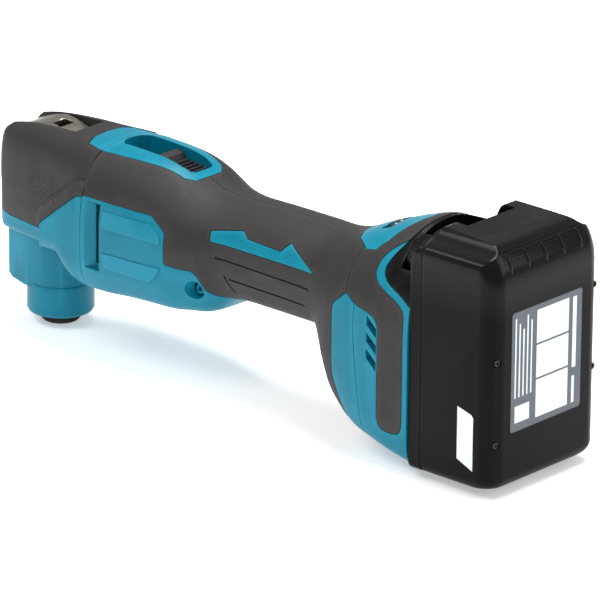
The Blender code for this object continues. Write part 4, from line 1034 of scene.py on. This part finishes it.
def grip_rib(index, y):
    """A small raised bead down the round at the battery's rear top edge."""
    path = top_curve()[9:20]
    width, height, sunk = 1.1, 0.95, 0.3
    rings = []
    for k, (x, z) in enumerate(path):
        reach = math.sin(math.pi * (k + 0.6) / (len(path) + 0.2))
        ahead, behind = path[min(k + 1, len(path) - 1)], path[max(k - 1, 0)]
        along = Vector((ahead[0] - behind[0], 0, ahead[1] - behind[1])).normalized()
        out = Vector((-along.z, 0, along.x))
        if out.x < 0:
            out = -out
        rings.append([Vector((x, y, z)) - out * sunk
                      + Vector((0, width * reach * math.cos(a), 0))
                      + out * height * reach * math.sin(a)
                      for a in np.linspace(0, 2 * math.pi, 12, endpoint=False)])
    made = loft("grip_rib_%d" % index, rings, GLOSS)
    dress(tidy(made), "battery", "battery_shell")


SIDE_STRIPE = [(282.3, 16.5), (291.6, 12.5), (291.6, 38.0), (290.4, 39.4), (282.3, 41.6)]


def battery():
    """The pack with its matt top, ribs, button, label and side stripe."""
    case = battery_case()
    case.data.materials.clear()
    for finish in (SHELL, PLATEAU):
        case.data.materials.append(finish)
    for face in case.data.polygons:
        flat = face.normal.z > 0.97 and face.center.z / MM > 115
        face.material_index = 1 if flat else 0
    dress(case, "battery", "battery_shell", "battery_case")
    for k in range(5):
        grip_rib(k, -24.0 + 12.0 * k)
    cover = battery_cover()
    cover.data.materials.clear()
    cover.data.materials.append(SHELL)
    dress(cover, "battery", "battery_shell", "battery_cover")
    button = release_button()
    bevel_edges(button, 0.6)
    dress(button, "button", "battery_shell", "battery_button")
    label()
    stripe = prism("side_stripe", SIDE_STRIPE, "y", -BATTERY_HALF - PAPER, -BATTERY_HALF + 0.1,
                   PRINT)
    dress(stripe, "battery", "battery_shell")


PAPER, PRINTED = 0.08, 0.12    # how far the label and its print stand out


def plate(name, low, high, finish, out):
    """A thin printed patch on the battery's rear face, from (y, z) to (y, z)."""
    corners = soften([(low[0], low[1]), (high[0], low[1]), (high[0], high[1]), (low[0], high[1])],
                     1.6 if out == PAPER else 0.3)
    made = prism(name, corners, "x", BATTERY_REAR - 0.1, BATTERY_REAR + out, finish)
    return dress(made, "battery", "battery_shell")


def label():
    """The rating label with plain blocks and rules in place of its print."""
    plate("label_base", (-24.7, 30.0), (23.5, 87.0), SLATE, PAPER)
    plate("label_field_0", (-7.6, 33.0), (14.4, 51.0), PRINT, PRINTED)
    plate("label_field_1", (-7.6, 52.0), (14.4, 67.6), PRINT, PRINTED)
    plate("label_field_2", (-7.6, 68.6), (14.4, 84.4), PRINT, PRINTED)
    for k in range(5):
        y = -22.4 + 2.7 * k
        plate("label_rule_%d" % k, (y, 46.0), (y + 0.9, 84.0 - 3 * (k % 3)), PRINT, PRINTED)
    plate("label_mark", (-22.0, 34.0), (-12.0, 42.0), PRINT, PRINTED)
    plate("label_title", (17.2, 50.0), (19.8, 84.0), PRINT, PRINTED)
    plate("label_foot", (17.2, 33.0), (19.0, 46.0), PRINT, PRINTED)


def repaint():
    """Gives the CAD pieces that stay visible their detailed finishes."""
    finishes = {"teal_plastic": TEAL, "soft_grip": RUBBER, "black_plastic": BLACK,
                "battery_shell": SHELL, "steel": STEEL, "dark_steel": DARK_STEEL,
                "cast_aluminium": ALUMINIUM, "copper": COPPER, "circuit_board": BOARD,
                "cell_sleeve": CELL}
    slots = {row["node"]: row["material_slot"] for row in frame["record"]["subparts"]}
    for name, node in frame["nodes"].items():
        node.data.materials.clear()
        node.data.materials.append(TEAL if name == "housing_screw" else finishes[slots[name]])
        node.data.shade_smooth()
        node.data.set_sharp_from_angle(angle=math.radians(30))


# ---- stage --------------------------------------------------------------------------
def stage():
    """The plain pale floor under the tool."""
    floor = bmesh.new()
    bmesh.ops.create_grid(floor, x_segments=2, y_segments=2, size=6.0)
    mesh = bpy.data.meshes.new("floor")
    floor.to_mesh(mesh)
    floor.free()
    made = bpy.data.objects.new("floor", mesh)
    made.location = (0.15, 0.0, CAD_BOX[0].z - 0.0005)
    bpy.context.scene.collection.objects.link(made)
    pale = bpy.data.materials.new("pale_floor")
    pale.use_nodes = True
    sockets = pale.node_tree.nodes["Principled BSDF"].inputs
    sockets["Base Color"].default_value = (0.95, 0.95, 0.95, 1)
    sockets["Emission Color"].default_value = (1, 1, 1, 1)
    sockets["Emission Strength"].default_value = 0.4
    sockets["Roughness"].default_value = 0.7
    mesh.materials.append(pale)


def lamp(name, place, aim, size, power):
    """A soft rectangular light at place that looks at aim."""
    light = bpy.data.lights.new(name, "AREA")
    light.shape = "RECTANGLE"
    light.size, light.size_y = size
    light.energy = power
    made = bpy.data.objects.new(name, light)
    made.location = place
    made.rotation_euler = (Vector(aim) - Vector(place)).to_track_quat("-Z", "Y").to_euler()
    bpy.context.scene.collection.objects.link(made)


def lights():
    """A pale surround and three soft lamps."""
    world = bpy.data.worlds.new("studio")
    world.use_nodes = True
    world.node_tree.nodes["Background"].inputs["Color"].default_value = (1, 1, 1, 1)
    world.node_tree.nodes["Background"].inputs["Strength"].default_value = 0.40
    bpy.context.scene.world = world
    bpy.context.scene.view_settings.view_transform = "Standard"
    aim = (0.14, 0.0, 0.06)
    lamp("key", (-0.3, -0.7, 1.2), aim, (0.8, 0.6), 8)
    lamp("top", (0.2, 0.2, 1.3), aim, (1.2, 0.5), 20)
    lamp("rim", (1.1, 0.5, 0.6), aim, (0.5, 0.8), 2.5)


AZIMUTH, ELEVATION, ROLL = math.radians(41.94), math.radians(20.60), math.radians(0.54)


def camera():
    """The camera, turned by its azimuth, elevation and roll."""
    back = Vector((math.sin(AZIMUTH) * math.cos(ELEVATION),
                   -math.cos(AZIMUTH) * math.cos(ELEVATION), math.sin(ELEVATION)))
    right = Vector((math.cos(AZIMUTH), math.sin(AZIMUTH), 0.0))
    up = back.cross(right)
    across = math.cos(ROLL) * right + math.sin(ROLL) * up
    rise = -math.sin(ROLL) * right + math.cos(ROLL) * up
    data = bpy.data.cameras.new("camera")
    data.sensor_width = 36.0
    data.lens = 414.9
    data.clip_start, data.clip_end = 0.1, 20.0
    made = bpy.data.objects.new("camera", data)
    place = Matrix((across, rise, back)).transposed().to_4x4()
    place.translation = (2.1504, -2.2225, 1.1716)
    made.matrix_world = place
    bpy.context.scene.collection.objects.link(made)
    bpy.context.scene.camera = made


repaint()
head()
holder()
motor()
handle()
rear()
switch()
battery()
stage()
lights()
camera()
